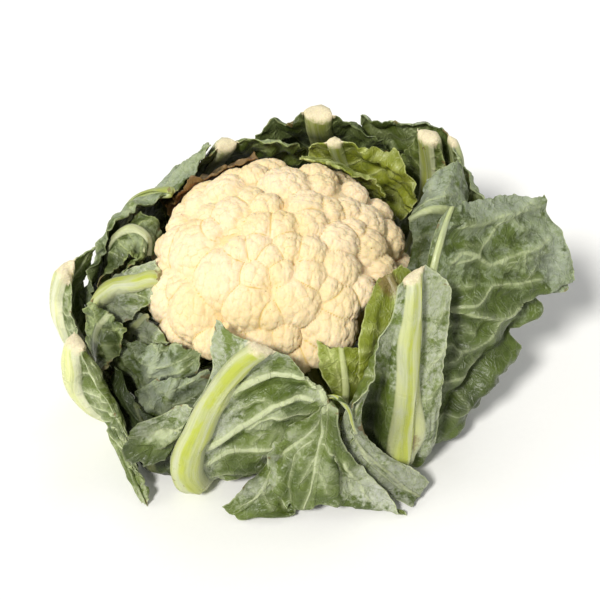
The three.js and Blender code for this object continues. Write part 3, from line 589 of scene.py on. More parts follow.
    def _rib(self, g: Graph, leaf: Socket, colour: Socket) -> tuple[Socket, Socket, Socket]:
        """Lays the streaked rib over a colour.

        Args:
            g: The material's nodes.
            leaf: The place on the leaf.
            colour: The blade's colour.

        Returns:
            The colour with the rib, the height of its fibres, and its share.
        """
        rib = g.reading("rib")
        share = g.step(rib, 0.02, 0.3)
        long = g.stretch(leaf, (0.045, 1, 1))
        fibres = g.noise(long, 0.9, 4, 0.7).outputs["Fac"]
        bands = g.noise(g.stretch(leaf, (0.02, 1, 1)), 3.6, 2).outputs["Fac"]
        streak = g.math("MULTIPLY", g.step(rib, 0.4, 0.95), g.step(bands, 0.37, 0.58))
        skin = g.mix(streak, self.rib, self.streak)
        cloudy = g.noise(g.stretch(leaf, (0.3, 1, 1)), 5, 4, 0.6).outputs["Fac"]
        skin = g.mix(g.math("MULTIPLY", g.step(cloudy, 0.42, 0.68), 0.45), skin, self.bloom)
        skin = g.mix(g.math("MULTIPLY", g.step(fibres, 0.45, 0.72), 0.24), skin, self.green)
        marks = g.step(g.noise(g.place, 6, 5, 0.7).outputs["Fac"], 0.68, 0.76)
        skin = g.mix(g.math("MULTIPLY", marks, 0.35 + self.dry / 2), skin, self.brown)
        return g.mix(share, colour, skin), g.math("MULTIPLY", fibres, share), share

    def _margin(self, g: Graph, colour: Socket, patches: Socket) -> Socket:
        """Returns the colour with a pale margin, dry and brown in places.

        Args:
            g: The graph to build in.
            colour: The leaf's colour so far.
            patches: The noise that places what is dry.

        Returns:
            The colour.
        """
        away = g.reading("margin")
        edge = g.step(away, 0.15, 1.0, (1, 0))
        colour = g.mix(g.math("MULTIPLY", edge, 0.55), colour, self.vein)
        reach = g.step(patches, 0.62 - 0.25 * self.dry, 0.75 - 0.2 * self.dry, (0.3, 5))
        crisp = g.step(g.math("SUBTRACT", away, reach), -0.8, 0.2, (1, 0))
        parched = g.math("MULTIPLY", crisp, g.step(patches, 0.6 - 0.25 * self.dry, 0.68 - 0.25 * self.dry))
        return g.mix(g.math("MULTIPLY", parched, 0.75), colour, self.brown)

    def _cut(self, g: Graph, leaf: Socket, colour: Socket) -> tuple[Socket, Socket]:
        """Lays the tan of a cut end over a colour.

        Args:
            g: The material's nodes.
            leaf: The place on the leaf.
            colour: The leaf's colour.

        Returns:
            The colour with the cut end, and the cut's share.
        """
        uneven = g.math("MULTIPLY", g.math("SUBTRACT", g.noise(leaf, 2.5, 3).outputs["Fac"], 0.5), 7)
        near = g.step(g.math("ADD", g.reading("cut"), uneven), 0.2, 4.4, (1, 0))
        tubes = g.step(g.cells(g.place, 1.0, "F1"), 0.1, 0.6)
        face = g.mix(tubes, self.tan, g.mix(0.16, self.tan, self.brown))
        parched = g.step(g.noise(g.place, 3.2, 4, 0.7).outputs["Fac"], 0.5, 0.68)
        face = g.mix(g.math("MULTIPLY", parched, 0.22), face, self.brown)
        return g.mix(g.math("MULTIPLY", near, 0.92), colour, face), near

    def _bruise(self, g: Graph, colour: Socket) -> Socket:
        """Returns the colour with the brown of bruised places."""
        spotty = g.noise(g.place, 2.2, 5, 0.75).outputs["Fac"]
        level = g.math("ADD", g.reading("bruise"), g.math("SUBTRACT", spotty, 0.5))
        return g.mix(g.math("MULTIPLY", g.step(level, 0.35, 0.75), 0.8), colour, self.brown)


class Leafage(Enum):
    """The finishes that leaves come in."""

    WRAPPER = LeafFinish(
        "wrapper", bloom=srgb("b9bdae"), thin=srgb("869262"), green=srgb("64752c"), deep=srgb("4a5a20"),
        inner=srgb("6a782c"), vein=srgb("c5cda2"), rib=srgb("c0c590"), streak=srgb("b0b848"),
        bloom_share=0.6)
    STOUT = LeafFinish(
        "stout", bloom=srgb("a9b090"), thin=srgb("8a9660"), green=srgb("64752c"), deep=srgb("485820"),
        inner=srgb("6c7a34"), vein=srgb("cdd5aa"), rib=srgb("ebecc8"), streak=srgb("d6da92"),
        bloom_share=0.45)
    TENDER = LeafFinish(
        "tender", bloom=srgb("a4b064"), thin=srgb("929f42"), green=srgb("848f2a"), deep=srgb("6a7422"),
        inner=srgb("8c932c"), vein=srgb("c8ce88"), rib=srgb("c8ce94"), streak=srgb("acb456"),
        bloom_share=0.42, painted_cover_shade_strength=0.1)
    GREY = LeafFinish(
        "grey", bloom=srgb("9da691"), thin=srgb("738250"), green=srgb("586927"), deep=srgb("404e1c"),
        inner=srgb("545f26"), vein=srgb("afb98c"), rib=srgb("b6bf88"), streak=srgb("9aa44c"),
        bloom_share=0.54)
    FRESH = LeafFinish(
        "fresh", bloom=srgb("8b9671"), thin=srgb("6b793e"), green=srgb("566522"), deep=srgb("3b4919"),
        inner=srgb("566226"), vein=srgb("a6b176"), rib=srgb("c6caa0"), streak=srgb("a8ae58"),
        bloom_share=0.45, dry=0.3)
    SHADED = LeafFinish(
        "shaded", bloom=srgb("6e7a54"), thin=srgb("556232"), green=srgb("3f4d1e"), deep=srgb("2c3814"),
        inner=srgb("3e481b"), vein=srgb("8a9664"), rib=srgb("a8ac72"), streak=srgb("8a9243"),
        bloom_share=0.4, dry=0.3)
    DRIED = LeafFinish(
        "dried", bloom=srgb("8a7a68"), thin=srgb("7c684c"), green=srgb("6a5238"), deep=srgb("4c3826"),
        inner=srgb("93602c"), vein=srgb("a5855c"), rib=srgb("b09468"), streak=srgb("9a7440"),
        bloom_share=0.5, dry=1.0)


# ---------------------------------------------------------------- pieces

def mesh_piece(name: str, points: np.ndarray, faces: list[np.ndarray], readings: dict[str, np.ndarray],
               crisp: float = 60) -> bpy.types.Object:
    """Makes an object from a mesh in millimetres.

    Args:
        name: The piece's name.
        points: Its points.
        faces: Its faces, in arrays of faces with the same number of corners.
        readings: Numbers or vectors kept at the points, by name.
        crisp: The angle in degrees between faces from which an edge is sharp.

    Returns:
        The object.
    """
    mesh = bpy.data.meshes.new(name)
    corners = np.concatenate([part.ravel() for part in faces]).astype(np.int32)
    sides = np.concatenate([np.full(len(part), part.shape[1]) for part in faces])
    mesh.vertices.add(len(points))
    mesh.vertices.foreach_set("co", (points * MM).astype(np.float32).ravel())
    mesh.loops.add(len(corners))
    mesh.loops.foreach_set("vertex_index", corners)
    mesh.polygons.add(len(sides))
    mesh.polygons.foreach_set("loop_start", (np.cumsum(sides) - sides).astype(np.int32))
    mesh.update(calc_edges=True)
    mesh.polygons.foreach_set("use_smooth", np.ones(len(sides), bool))
    for key, values in readings.items():
        kind, slot = ("FLOAT_VECTOR", "vector") if values.ndim == 2 else ("FLOAT", "value")
        layer = mesh.attributes.new(key, kind, "POINT")
        layer.data.foreach_set(slot, values.astype(np.float32).ravel())
    mesh.validate()
    mesh.set_sharp_from_angle(angle=math.radians(crisp))
    piece = bpy.data.objects.new(name, mesh)
    bpy.context.scene.collection.objects.link(piece)
    return piece


def points_of(piece: bpy.types.Object) -> np.ndarray:
    """Returns an object's points in millimetres."""
    co = np.empty(len(piece.data.vertices) * 3, np.float32)
    piece.data.vertices.foreach_get("co", co)
    return co.reshape(-1, 3).astype(float) / MM


def place_piece(piece: bpy.types.Object, node: str) -> None:
    """Lets a piece stand for a node of the head.

    Args:
        piece: The finished piece.
        node: The node it replaces.
    """
    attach(piece, "root")
    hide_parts(node)
    LOG.info("%s: %d faces", piece.name, len(piece.data.polygons))


# Florets that show, each azimuth, elevation and radius.
FLORETS: tuple[Polar, ...] = (
    (-167, 61, 13), (174, 72, 9), (82, 71, 15), (-17, 74, 12), (-117, 67, 10), (-89, 69, 10), (-44, 67, 10),
    (-10, 63, 9), (-124, 50, 9), (-111, 55, 9), (-98, 51, 8), (-83, 57, 9), (-64, 52, 9), (-161, 35, 18),
    (-127, 34, 17), (-106, 40, 10), (-89, 43, 8), (-71, 40, 10), (-137, 11, 19), (-107, 26, 15),
    (-95, 24, 9), (-81, 29, 14), (-36, 49, 12), (-50, 38, 12), (-62, 32, 8), (-58, 23, 12), (-20, 36, 12),
    (0, 40, 13), (25, 23, 10), (1, 52, 9), (-24, 25, 10), (-66, 11, 17), (-88, 13, 9), (-83, 2, 11),
    (-75, 5, 11), (159, 38, 8), (158, 26, 8), (171, 28, 8), (-149, 17, 9), (-159, 48, 9), (-124, 4, 12),
    (-98, 10, 11), (-112, 8, 11), (-108, -4, 10), (-45, 24, 10), (-177, 50, 8), (-147, 80, 9),
    (118, 53, 10), (41, 60, 9), (31, 40, 9), (178, 18, 8), (-168, 16, 9), (-164, 4, 10), (-19, 47, 8),
    (-158, 6, 20), (-144, -4, 19), (-172, 26, 14),
)
GOLDEN_TURN = math.pi * (3 - math.sqrt(5))


@dataclass
class Curd:
    """The curd: florets on a dome, lobes on the florets and grains on the lobes."""

    centre: float = 72
    radius: float = 73
    rise: float = 60
    underside: float = 19
    core_inset: float = 9
    sink: float = 0.7
    fill_count: int = 96
    fill_radius: float = 14
    fill_vary: float = 0.25
    fill_spread: float = 1.04
    fill_crowding: float = 0.68
    fill_turn: float = 2.39996
    across: int = 300
    lowest: float = math.radians(-14)
    crown_lift: float = 2.4
    flatten: float = 0.45
    lobe_pitch: float = 6.2
    lobe_height: float = 1.35
    lobe_cover: float = 1.3
    grain_pitch: float = 2.15
    grain_height: float = 0.6
    grains: int = 12
    bump_share: float = 0.62
    seam_width: float = 0.9
    groove: float = 1.1
    skirt_rings: int = 10
    lobe_seed: int = 41
    grain_seed: int = 7
    finish: CurdFinish = field(default_factory=CurdFinish)

    # painted shade: how far other pieces reach out over each point of a leaf
    def dome(self, elevation: np.ndarray, inset: float = 0) -> np.ndarray:
        """Returns the dome's distance from its middle in a direction."""
        rise = np.where(np.sin(elevation) < 0, self.underside, self.rise - inset)
        return 1 / np.hypot(np.cos(elevation) / (self.radius - inset), np.sin(elevation) / rise)

    @staticmethod
    def ways(azimuth: np.ndarray, elevation: np.ndarray) -> np.ndarray:
        """Returns the directions with an azimuth and elevation in radians."""
        return np.stack([np.cos(elevation) * np.cos(azimuth), np.cos(elevation) * np.sin(azimuth),
                         np.sin(elevation)], axis=-1)

    def florets(self) -> tuple[np.ndarray, np.ndarray]:
        """Returns the centres and radii of the florets, with the dome's middle as origin."""
        def ball(azimuth: float, elevation: float, radius: float) -> np.ndarray:
            """Returns the centre of a floret of some radius in a direction."""
            far = self.dome(np.array(max(elevation, 0.0))) - self.sink * radius
            return self.ways(np.array(azimuth), np.array(elevation)) * far

        balls = [(ball(math.radians(a), math.radians(e), r), r) for a, e, r in FLORETS]
        for k in range(self.fill_count):
            elevation = math.asin(1 - self.fill_spread * (k + 0.5) / self.fill_count)
            radius = self.fill_radius * (1 + self.fill_vary * math.sin(k * 7.3))
            centre = ball(k * self.fill_turn, elevation, radius)
            if all(np.linalg.norm(c - centre) > self.fill_crowding * (r + radius) for c, r in balls):
                balls.append((centre, radius))
        return np.array([c for c, _ in balls]), np.array([r for _, r in balls])

    def net(self) -> np.ndarray:
        """Returns a square net of directions, even over the crown and down to the lowest elevation."""
        line = np.linspace(-1, 1, self.across + 1)
        u, v = np.meshgrid(line, line, indexing="ij")
        wide = np.abs(u) > np.abs(v)
        far = np.where(wide, u, v)
        other = np.where(wide, v, u) / np.where(far == 0, 1, far)
        turn = np.where(wide, math.pi / 4 * other, math.pi / 2 - math.pi / 4 * other)
        height = 1 - far ** 2 * (1 - math.sin(self.lowest))
        return self.ways(turn + np.where(far < 0, math.pi, 0), np.arcsin(np.clip(height, -1, 1)))

    def swell(self, ways: np.ndarray, centres: np.ndarray, radii: np.ndarray) -> tuple[np.ndarray, ...]:
        """Finds the florets' outside.

        Args:
            ways: Directions from the dome's middle.
            centres: The florets' centres.
            radii: The florets' radii.

        Returns:
            The distance out, how far the next floret lies below, and the floret met.
        """
        best = self.dome(np.arcsin(np.clip(ways[:, 2], -1, 1)), self.core_inset)
        second, owner = best - 1, np.full(len(ways), -1)
        for k, (centre, radius) in enumerate(zip(centres, radii)):
            near = ways @ centre
            inside = near ** 2 - centre @ centre + radius ** 2
            reach = np.where(inside > 0, near + np.sqrt(np.maximum(inside, 0)), 0)
            over = reach > best
            second = np.where(over, best, np.maximum(second, reach))
            owner = np.where(over, k, owner)
            best = np.where(over, reach, best)
        return best, best - second, owner

    def seeds(self, centres: np.ndarray, radii: np.ndarray) -> tuple[np.ndarray, np.ndarray]:
        """Sets lobes in a spiral over every floret.

        Args:
            centres: The florets' centres.
            radii: The florets' radii.

        Returns:
            The lobes' tops, and the floret that each is on.
        """
        rng = np.random.default_rng(self.lobe_seed)
        tops, owners = [], []
        for k, (centre, radius) in enumerate(zip(centres, radii)):
            axis = unit(centre * (1, 1, 1.3))  # lobes crowd towards the top
            side = unit(np.cross(axis, (0.3, 0.1, 1)))
            other = np.cross(axis, side)
            count = int(2 * math.pi * radius ** 2 * self.lobe_cover / (0.87 * self.lobe_pitch ** 2))
            n = np.arange(count)
            lean = np.arccos(np.clip(1 - self.lobe_cover * (n + 0.4) / count, -1, 1))
            turn = n * GOLDEN_TURN + rng.uniform(0, 6)
            lean, turn = lean + rng.normal(0, 0.05, count), turn + rng.normal(0, 0.1, count)
            way = (np.cos(lean)[:, None] * axis + (np.sin(lean) * np.cos(turn))[:, None] * side
                   + (np.sin(lean) * np.sin(turn))[:, None] * other)
            tops.append(centre + radius * way)
            owners.append(np.full(count, k))
        return np.concatenate(tops), np.concatenate(owners)

    @staticmethod
    def nearest(tree_points: np.ndarray, at: np.ndarray) -> tuple[np.ndarray, np.ndarray, np.ndarray]:
        """Finds the two nearest of some points.

        Args:
            tree_points: The points to look among.
            at: The places to look from.

        Returns:
            The nearest point's number, its distance, and the next one's distance.
        """
        tree = KDTree(len(tree_points))
        for i, point in enumerate(tree_points):
            tree.insert(point, i)
        tree.balance()
        found = [tree.find_n(place, 2) for place in at]
        return (np.array([f[0][1] for f in found]), np.array([f[0][2] for f in found]),
                np.array([f[1][2] for f in found]))

    def relief(self, points: np.ndarray, owner: np.ndarray, centres: np.ndarray,
               radii: np.ndarray) -> tuple[np.ndarray, np.ndarray, np.ndarray]:
        """Works out the height of the lobes and grains.

        Args:
            points: Points on the florets.
            owner: The floret under each point.
            centres: The florets' centres.
            radii: The florets' radii.

        Returns:
            The height, and how near each point is to a seam between lobes and between grains.
        """
        rng = np.random.default_rng(self.grain_seed)
        lobes, on = self.seeds(centres, radii)
        apart = np.array([500.0, 0, 0])
        spread = Roughness(3, 8)
        warp = np.stack([spread.at(points[:, turn]) for turn in ([0, 1, 2], [1, 2, 0], [2, 0, 1])], -1)
        places = points + 0.35 * warp + owner[:, None] * apart
        lobe, near, next_near = self.nearest(lobes + on[:, None] * apart, places)
        seam = next_near - near
        size = self.lobe_pitch * self.bump_share
        height = self.lobe_height * (np.sqrt(np.maximum(1 - (near / size) ** 2, 0.02)) - 0.8)
        out = unit(lobes - centres[on])
        side = unit(np.cross(out, (0.2, 0.3, 1)))
        other = np.cross(out, side)
        ring, turns = np.arange(self.grains), rng.uniform(0, 6, len(lobes))
        angle = ring * GOLDEN_TURN + turns[:, None]
        far = self.grain_pitch * 0.56 * np.sqrt(ring + 0.1)
        grains = (lobes[:, None] + (far * np.cos(angle))[..., None] * side[:, None]
                  + (far * np.sin(angle))[..., None] * other[:, None])
        bend = (far ** 2 / (2 * radii[on][:, None]))[..., None] * out[:, None]
        grains = (grains - bend + rng.normal(0, 0.16, grains.shape)).reshape(-1, 3)
        key = lobe[:, None] * apart
        grown_on = np.repeat(np.arange(len(lobes)), self.grains)[:, None]
        grain, close, next_close = self.nearest(grains + grown_on * apart, points + 0.18 * warp + key)
        lift = self.grain_height * (0.75 + 0.5 * rng.random(len(grains)))
        size = self.grain_pitch * self.bump_share
        height += lift[grain] * (np.sqrt(np.maximum(1 - (close / size) ** 2, 0)) - 0.7)
        grain_seam = np.exp(-(next_close - close) / (self.seam_width / 2))
        return height, np.exp(-seam / self.seam_width), grain_seam

    def build(self) -> bpy.types.Object:
        """Returns the curd's object, dressed and placed."""
        centres, radii = self.florets()
        net = self.net()
        ways = net.reshape(-1, 3)
        far, gap, owner = self.swell(ways, centres, radii)
        outline = self.dome(np.arcsin(np.clip(ways[:, 2], -1, 1))) + self.crown_lift
        crown = smooth(ways[:, 2], 0.1, 0.5)
        far = far + (outline - far) * self.flatten * crown
        points = ways * far[:, None]
        height, lobe_seam, grain_seam = self.relief(points, owner, centres, radii)
        bare = owner < 0
        owner = np.maximum(owner, 0)
        normal = unit(points - centres[owner])
        normal = unit(normal + 0.6 * ways)
        keep = smooth(gap, 0, 2.2)
        points = points + normal * (np.where(bare, 0, height) * (0.25 + 0.75 * keep))[:, None]
        points -= ways * (self.groove * np.exp(-gap / 0.7))[:, None]
        outline = self.dome(np.arcsin(np.clip(ways[:, 2], -1, 1)))
        # painted shade: how deep a point lies below the dome, which the finish darkens to ochre
        depth = np.clip((outline - 1.5 - np.linalg.norm(points, axis=1)) / 9, 0, 1)
        # painted shade: how far a point lies down the curd's lower side, which the finish darkens to
        # olive-brown
        hidden = smooth(-np.degrees(np.arcsin(ways[:, 2])), -6, 14)
        readings = {"floret_seam": np.exp(-gap / 0.8), "lobe_seam": lobe_seam, "grain_seam": grain_seam,
                    "depth": depth, "hidden": hidden}
        points[:, 2] = np.maximum(points[:, 2], -self.underside)
        n = self.across + 1
        index = np.arange(n * n).reshape(n, n)
        corners = [index[:-1, :-1], index[1:, :-1], index[1:, 1:], index[:-1, 1:]]
        faces = np.stack(corners, -1).reshape(-1, 4)
        rim = np.concatenate([index[0, :-1], index[:-1, -1], index[-1, :0:-1], index[:0:-1, 0]])
        points, faces, readings = self._skirt(points, faces, readings, rim)
        piece = mesh_piece("curd_head", points + (0, 0, self.centre), faces, readings, 180)
        piece.data.materials.append(self.finish.build())
        place_piece(piece, "curd")
        return piece

    def _skirt(self, points: np.ndarray, faces: np.ndarray, readings: dict[str, np.ndarray],
               rim: np.ndarray) -> tuple[np.ndarray, list[np.ndarray], dict[str, np.ndarray]]:
        """Closes the curd underneath, with rings from its rim in to the stalk.

        Args:
            points: The crown's points.
            faces: The crown's faces.
            readings: The crown's readings.
            rim: The numbers of the points on the crown's rim, in order.

        Returns:
            The points, faces and readings of the whole curd.
        """
        start = points[rim]
        inner = start * (0.33, 0.33, 0) + (0, 0, -self.underside)
        before = rim
        bumps = Roughness(11, 9)
        count = len(rim)
        for k in range(1, self.skirt_rings + 1):
            share = k / self.skirt_rings
            drop = 1 - (1 - share) ** 2.2
            ring = start * (1 - share) + inner * share
            ring[:, 2] = start[:, 2] * (1 - drop) - self.underside * drop
            ring[:, 2] += np.where(share < 1, np.minimum(0, bumps.at(ring)), 0)
            ring[:, 2] = np.maximum(ring[:, 2], -self.underside)
            own = np.arange(len(points), len(points) + count)
            points = np.concatenate([points, ring])
            for key in readings:
                # painted shade: the underside gets full deep-crease and lower-side shade
                fill = 1.0 if key in ("hidden", "depth") else 0.0
                readings[key] = np.concatenate([readings[key], np.full(count, fill)])
            ring_faces = np.stack([before, own, np.roll(own, -1), np.roll(before, -1)], -1)
            faces = np.concatenate([faces, ring_faces])
            before = own
        hub = np.full(count, len(points))
        points = np.concatenate([points, inner.mean(axis=0, keepdims=True)])
        for key in readings:
            readings[key] = np.concatenate([readings[key], [0.0]])
        return points, [faces, np.stack([before, hub, np.roll(before, -1)], -1)], readings


@dataclass
class Stalk:
    """The stalk: a short trunk with leaf scars, cut flat below."""

    profile: tuple[tuple[float, float], ...] = (
        (20.5, 0), (22.5, 2), (24, 9), (24.2, 24), (24.6, 40), (25.5, 52.4))
    sides: int = 144
    rows: int = 56
    face_rings: int = 26
    ring_radius: float = 14.5
    hollow: float = 0.35
    finish: StalkFinish = field(default_factory=StalkFinish)

    def build(self) -> bpy.types.Object:
        """Returns the stalk's object, dressed and placed."""
        turn = np.arange(self.sides) / self.sides * 2 * math.pi
        knots = np.array([height for _, height in self.profile])
        radii = np.array([[radius] for radius, _ in self.profile])
        heights = knots[-1] * np.linspace(0, 1, self.rows) ** 1.2
        outline = np.interp(heights, knots, radii[:, 0])
        bumps, fine = Roughness(21, 13), Roughness(22, 3.5)
        rings, cut, ring_mark = [], [], []
        for k in range(1, self.face_rings + 1):
            far = self.profile[0][0] * k / self.face_rings
            spot = np.stack([far * np.cos(turn), far * np.sin(turn), np.zeros(self.sides)], -1)
            off_ring = far - self.ring_radius
            hollow = self.hollow * (1 - k / self.face_rings) + 0.25 * math.exp(-(off_ring / 1.1) ** 2)
            spot[:, 2] = np.maximum(hollow + 0.06 * (1 + fine.at(spot)), 0) if k < self.face_rings else 0
            rings.append(spot)
            cut.append(1.0)
            ring_mark.append(math.exp(-(off_ring / 1.3) ** 2))
        for height, radius in zip(heights[1:], outline[1:]):
            spot = np.stack([radius * np.cos(turn), radius * np.sin(turn), np.full(self.sides, height)], -1)
            scars = 0.5 * np.maximum(0, np.cos(turn * 5 + height * 0.55)) ** 3
            out = -0.35 + 0.35 * bumps.at(spot) + 0.12 * fine.at(spot) + scars
            fade = min(1.0, height / 3, (knots[-1] - height) / 3)
            spot[:, :2] *= (1 + np.minimum(out, 0.4) * fade / radius)[:, None]
            rings.append(spot)
            cut.append(0.0)
            ring_mark.append(0.0)
        count = len(rings)
        points = np.concatenate([*rings, [[0, 0, self.hollow]], [[0, 0, knots[-1]]]])
        index = np.arange(count * self.sides).reshape(count, self.sides)
        after = np.roll(index, -1, axis=1)
        quads = np.stack([index[:-1], after[:-1], after[1:], index[1:]], -1).reshape(-1, 4)
        low, high = np.full(self.sides, len(points) - 2), np.full(self.sides, len(points) - 1)
        fans = np.stack([[low, after[0], index[0]], [high, index[-1], after[-1]]])
        fans = fans.transpose(0, 2, 1).reshape(-1, 3)
        readings = {"cut": np.append(np.repeat(cut, self.sides), [1.0, 0.0]),
                    "ring": np.append(np.repeat(ring_mark, self.sides), [0.0, 0.0])}
        piece = mesh_piece("stalk_trunk", points, [quads, fans], readings, 50)
        piece.data.materials.append(self.finish.build())
        place_piece(piece, "stalk")
        return piece


Run = tuple[Polar, ...]
Row = tuple[Polar, Run, Run]


def row(rib: Polar, left: Run = (), right: Run = ()) -> Row:
    """Returns a leaf's row: the rib's point, and the blade's from the rib outwards to its left and right."""
    return rib, left, right


@dataclass(frozen=True)
class SheetPlan:
    """One sheet of a leaf: the rib's widths from base to tip, and the rows of points along it."""

    width: tuple[float, ...]
    rows: tuple[Row, ...]
    blade: int = 3
    flange: float = 1.4
    lengthwise: int | None = None


@dataclass(frozen=True)
class LeafPlan:
    """A leaf: its node, slot, ruffle and sheets."""

    node: str
    slot: Slot
    ruffle: float
    sheets: tuple[SheetPlan, ...]


@dataclass(frozen=True)
class Trim:
    """What sets one leaf's surface apart: its finish, its fineness, its veins and its margin."""

    leafage: Leafage
    pitch: float = 1.7
    vein_pitch: float = 15
    ragged: float = 0.8
    frill: float = 0.7
    curl: float = 0.8
    crumple: float = 1.0
    quilt: float = 0.6
    rib: float = 1.0
    tan: bool = True


PLAIN_TRIM = {
    Slot.PALE: Trim(Leafage.TENDER), Slot.GREEN: Trim(Leafage.FRESH), Slot.BLOOM: Trim(Leafage.GREY),
    Slot.DARK: Trim(Leafage.SHADED), Slot.DRY: Trim(Leafage.DRIED, ragged=1.6, frill=1.5),
}
# Each leaf's finish, pitch, vein pitch, ragged, frill, curl, crumple and quilt.
TRIMS = {
    "leaf_front_left": Trim(Leafage.WRAPPER, 1.15, 17, 0.9, 0.9, 1.3, 1.3, 1.3),
    "leaf_front_right": Trim(Leafage.WRAPPER, 1.15, 17, 0.8, 0.7, 1.2, 0.8, 0.8),
    "leaf_right": Trim(Leafage.GREY, 1.2, 19, 1.4, 1.4, 2.6, 1.8, 1.5, rib=0.5),
    "leaf_small_front": Trim(Leafage.TENDER, 1.2, 12, 1.4, 1.0, 1.2, 1.2, 0.8, rib=0.5),
    "leaf_inner_front_right": Trim(Leafage.TENDER, 1.2, 12, 1.0, 1.0, 1.4, 1.4, 0.8, rib=0.7),
    "leaf_right_over": Trim(Leafage.GREY, 1.4, 15, 1.2, 1.0, 1.4, 1.6, 1.0, rib=0.35),
    "leaf_left_thick": Trim(Leafage.STOUT, 1.2, 14, 1.6, 1.4, 2.2, 1.8, 0.8),
    "leaf_left_outer": Trim(Leafage.STOUT, 1.4, 14, 1.0, 1.2, 1.6, 1.6),
    "leaf_left_rib": Trim(Leafage.WRAPPER, 1.2, 12, 1.4, 1.2, 2.0, 1.4, 0.8, tan=False),
    "leaf_left_band": Trim(Leafage.WRAPPER, 1.2, 12, 1.0, 1.0, 1.6, 1.6, 0.8, rib=0.6, tan=False),
    "leaf_left_curl": Trim(Leafage.FRESH, 1.2, 10, 1.8, 1.6, 3.0, 3.0, 1.0, rib=0.6, tan=False),
    "leaf_left_torn": Trim(Leafage.GREY, 1.2, 10, 2.0, 1.4, 2.6, 2.4, 1.0, rib=0.12, tan=False),
    "leaf_left_crumpled": Trim(Leafage.FRESH, 1.1, 10, 1.8, 1.6, 3.4, 3.2, 1.2, rib=0.2, tan=False),
    "leaf_low_left_inner": Trim(Leafage.GREY, 1.2, 10, 1.8, 1.4, 2.0, 1.8, 1.0, rib=0.12, tan=False),
    "leaf_low_left": Trim(Leafage.SHADED, 1.4, 12, 1.2, 1.2, 2.0, 2.0, 1.0, rib=0.2, tan=False),
    "leaf_left_back": Trim(Leafage.GREY, 1.3, 15, 1.4, 1.4, 2.0, 2.2, 1.2),
    "leaf_back_left": Trim(Leafage.FRESH, 1.3, 12, 1.8, 1.4, 2.4, 2.4, 1.0),
    "leaf_back": Trim(Leafage.SHADED, 1.3, 12, 2.0, 1.6, 2.8, 3.0, 1.0),
    "leaf_back_right_stub": Trim(Leafage.FRESH, 1.3, 12, 1.6, 1.4, 2.4, 2.4, 1.0),
    "leaf_back_right_wrap": Trim(Leafage.GREY, 1.3, 12, 1.4, 1.4, 2.2, 2.2, 1.0),
    "leaf_inner_back_right": Trim(Leafage.TENDER, 1.3, 12, 1.4, 1.4, 2.0, 2.0, 1.0),
    "leaf_crown_strip": Trim(Leafage.TENDER, 1.1, 10, 2.0, 1.2, 1.4, 1.6, 0.8, rib=0.4, tan=False),
    "leaf_dried": Trim(Leafage.DRIED, 1.1, 10, 2.4, 1.8, 2.6, 2.0, 0.8, rib=0.4, tan=False),
}

Spot = tuple[float, float]


@dataclass(frozen=True)
class Sight:
    """The camera's view, which also tells where a spot lies on a leaf. Spots are in 600ths of a side."""

    target: tuple[float, float, float] = (10.3, 0.0, 55.8)
    distance: float = 812
    elevation: float = 42
    lens: float = 85
    sensor: float = 36
    side: float = 600

    def forward(self) -> np.ndarray:
        """Returns the way the camera looks."""
        lift = math.radians(self.elevation)
        return np.array([0, math.cos(lift), -math.sin(lift)])

    def eye(self) -> np.ndarray:
        """Returns the camera's place."""
        return np.array(self.target) - self.distance * self.forward()

    def seen(self, points: np.ndarray) -> tuple[np.ndarray, np.ndarray, np.ndarray]:
        """Returns where points lie in the view, across and down, and how far away they are.

        Args:
            points: The points.

        Returns:
            Their distances from the view's left and top, in 600ths of its side, and their depths.
        """
        forward, ray = self.forward(), points - self.eye()
        up = np.array([0, -forward[2], forward[1]])
        depth = ray @ forward
        scale = self.side * self.lens / self.sensor / depth
        return self.side / 2 + scale * ray[..., 0], self.side / 2 - scale * (ray @ up), depth


SIGHT = Sight()


@dataclass
class Chart:
    """A sheet's fine net as the camera sees it, on which spots of the view are looked up."""

    fine: dict[str, np.ndarray]
    hidden: float
    deeper: float = 0.004
    barred: float = 50

    def __post_init__(self) -> None:
        """Finds where the net lies in the view."""
        self.right, self.down, depth = SIGHT.seen(self.fine["points"])
        self.handicap = (depth - depth.min()) * self.deeper
        self.handicap = self.handicap + np.where(self.fine["along"] < self.hidden, self.barred, 0)

    def away(self, spot: Spot) -> np.ndarray:
        """Returns how far each place of the net lies from a spot, in the view."""
        return np.hypot(self.right - spot[0], self.down - spot[1])

    def place(self, spot: Spot) -> Spot:
        """Returns the distances along and across the leaf under a spot."""
        nearest = np.unravel_index(np.argmin(self.away(spot) + self.handicap), self.right.shape)
        return float(self.fine["along"][nearest]), float(self.fine["across"][nearest])

    def whole(self, spot: Spot) -> Spot:
        """Returns the place under a spot, to the nearest millimetre."""
        along, across = self.place(spot)
        return round(along), round(across)

    def path(self, spots: tuple[Spot, ...]) -> tuple[Spot, ...]:
        """Returns the places under a run of spots, without repeats.

        Args:
            spots: The spots.

        Returns:
            The places' distances along and across the leaf.
        """
        found: list[Spot] = []
        for spot in spots:
            here = self.whole(spot)
            if not found or here != found[-1]:
                found.append(here)
        return tuple(found)


@dataclass(frozen=True)
class Vein:
    """A raised vein: half its width at its root, and its path."""

    half: float
    path: tuple[Spot, ...]

    def laid(self, chart: Chart) -> "Vein":
        """Returns the vein with its path along and across the leaf."""
        return replace(self, path=chart.path(self.path))


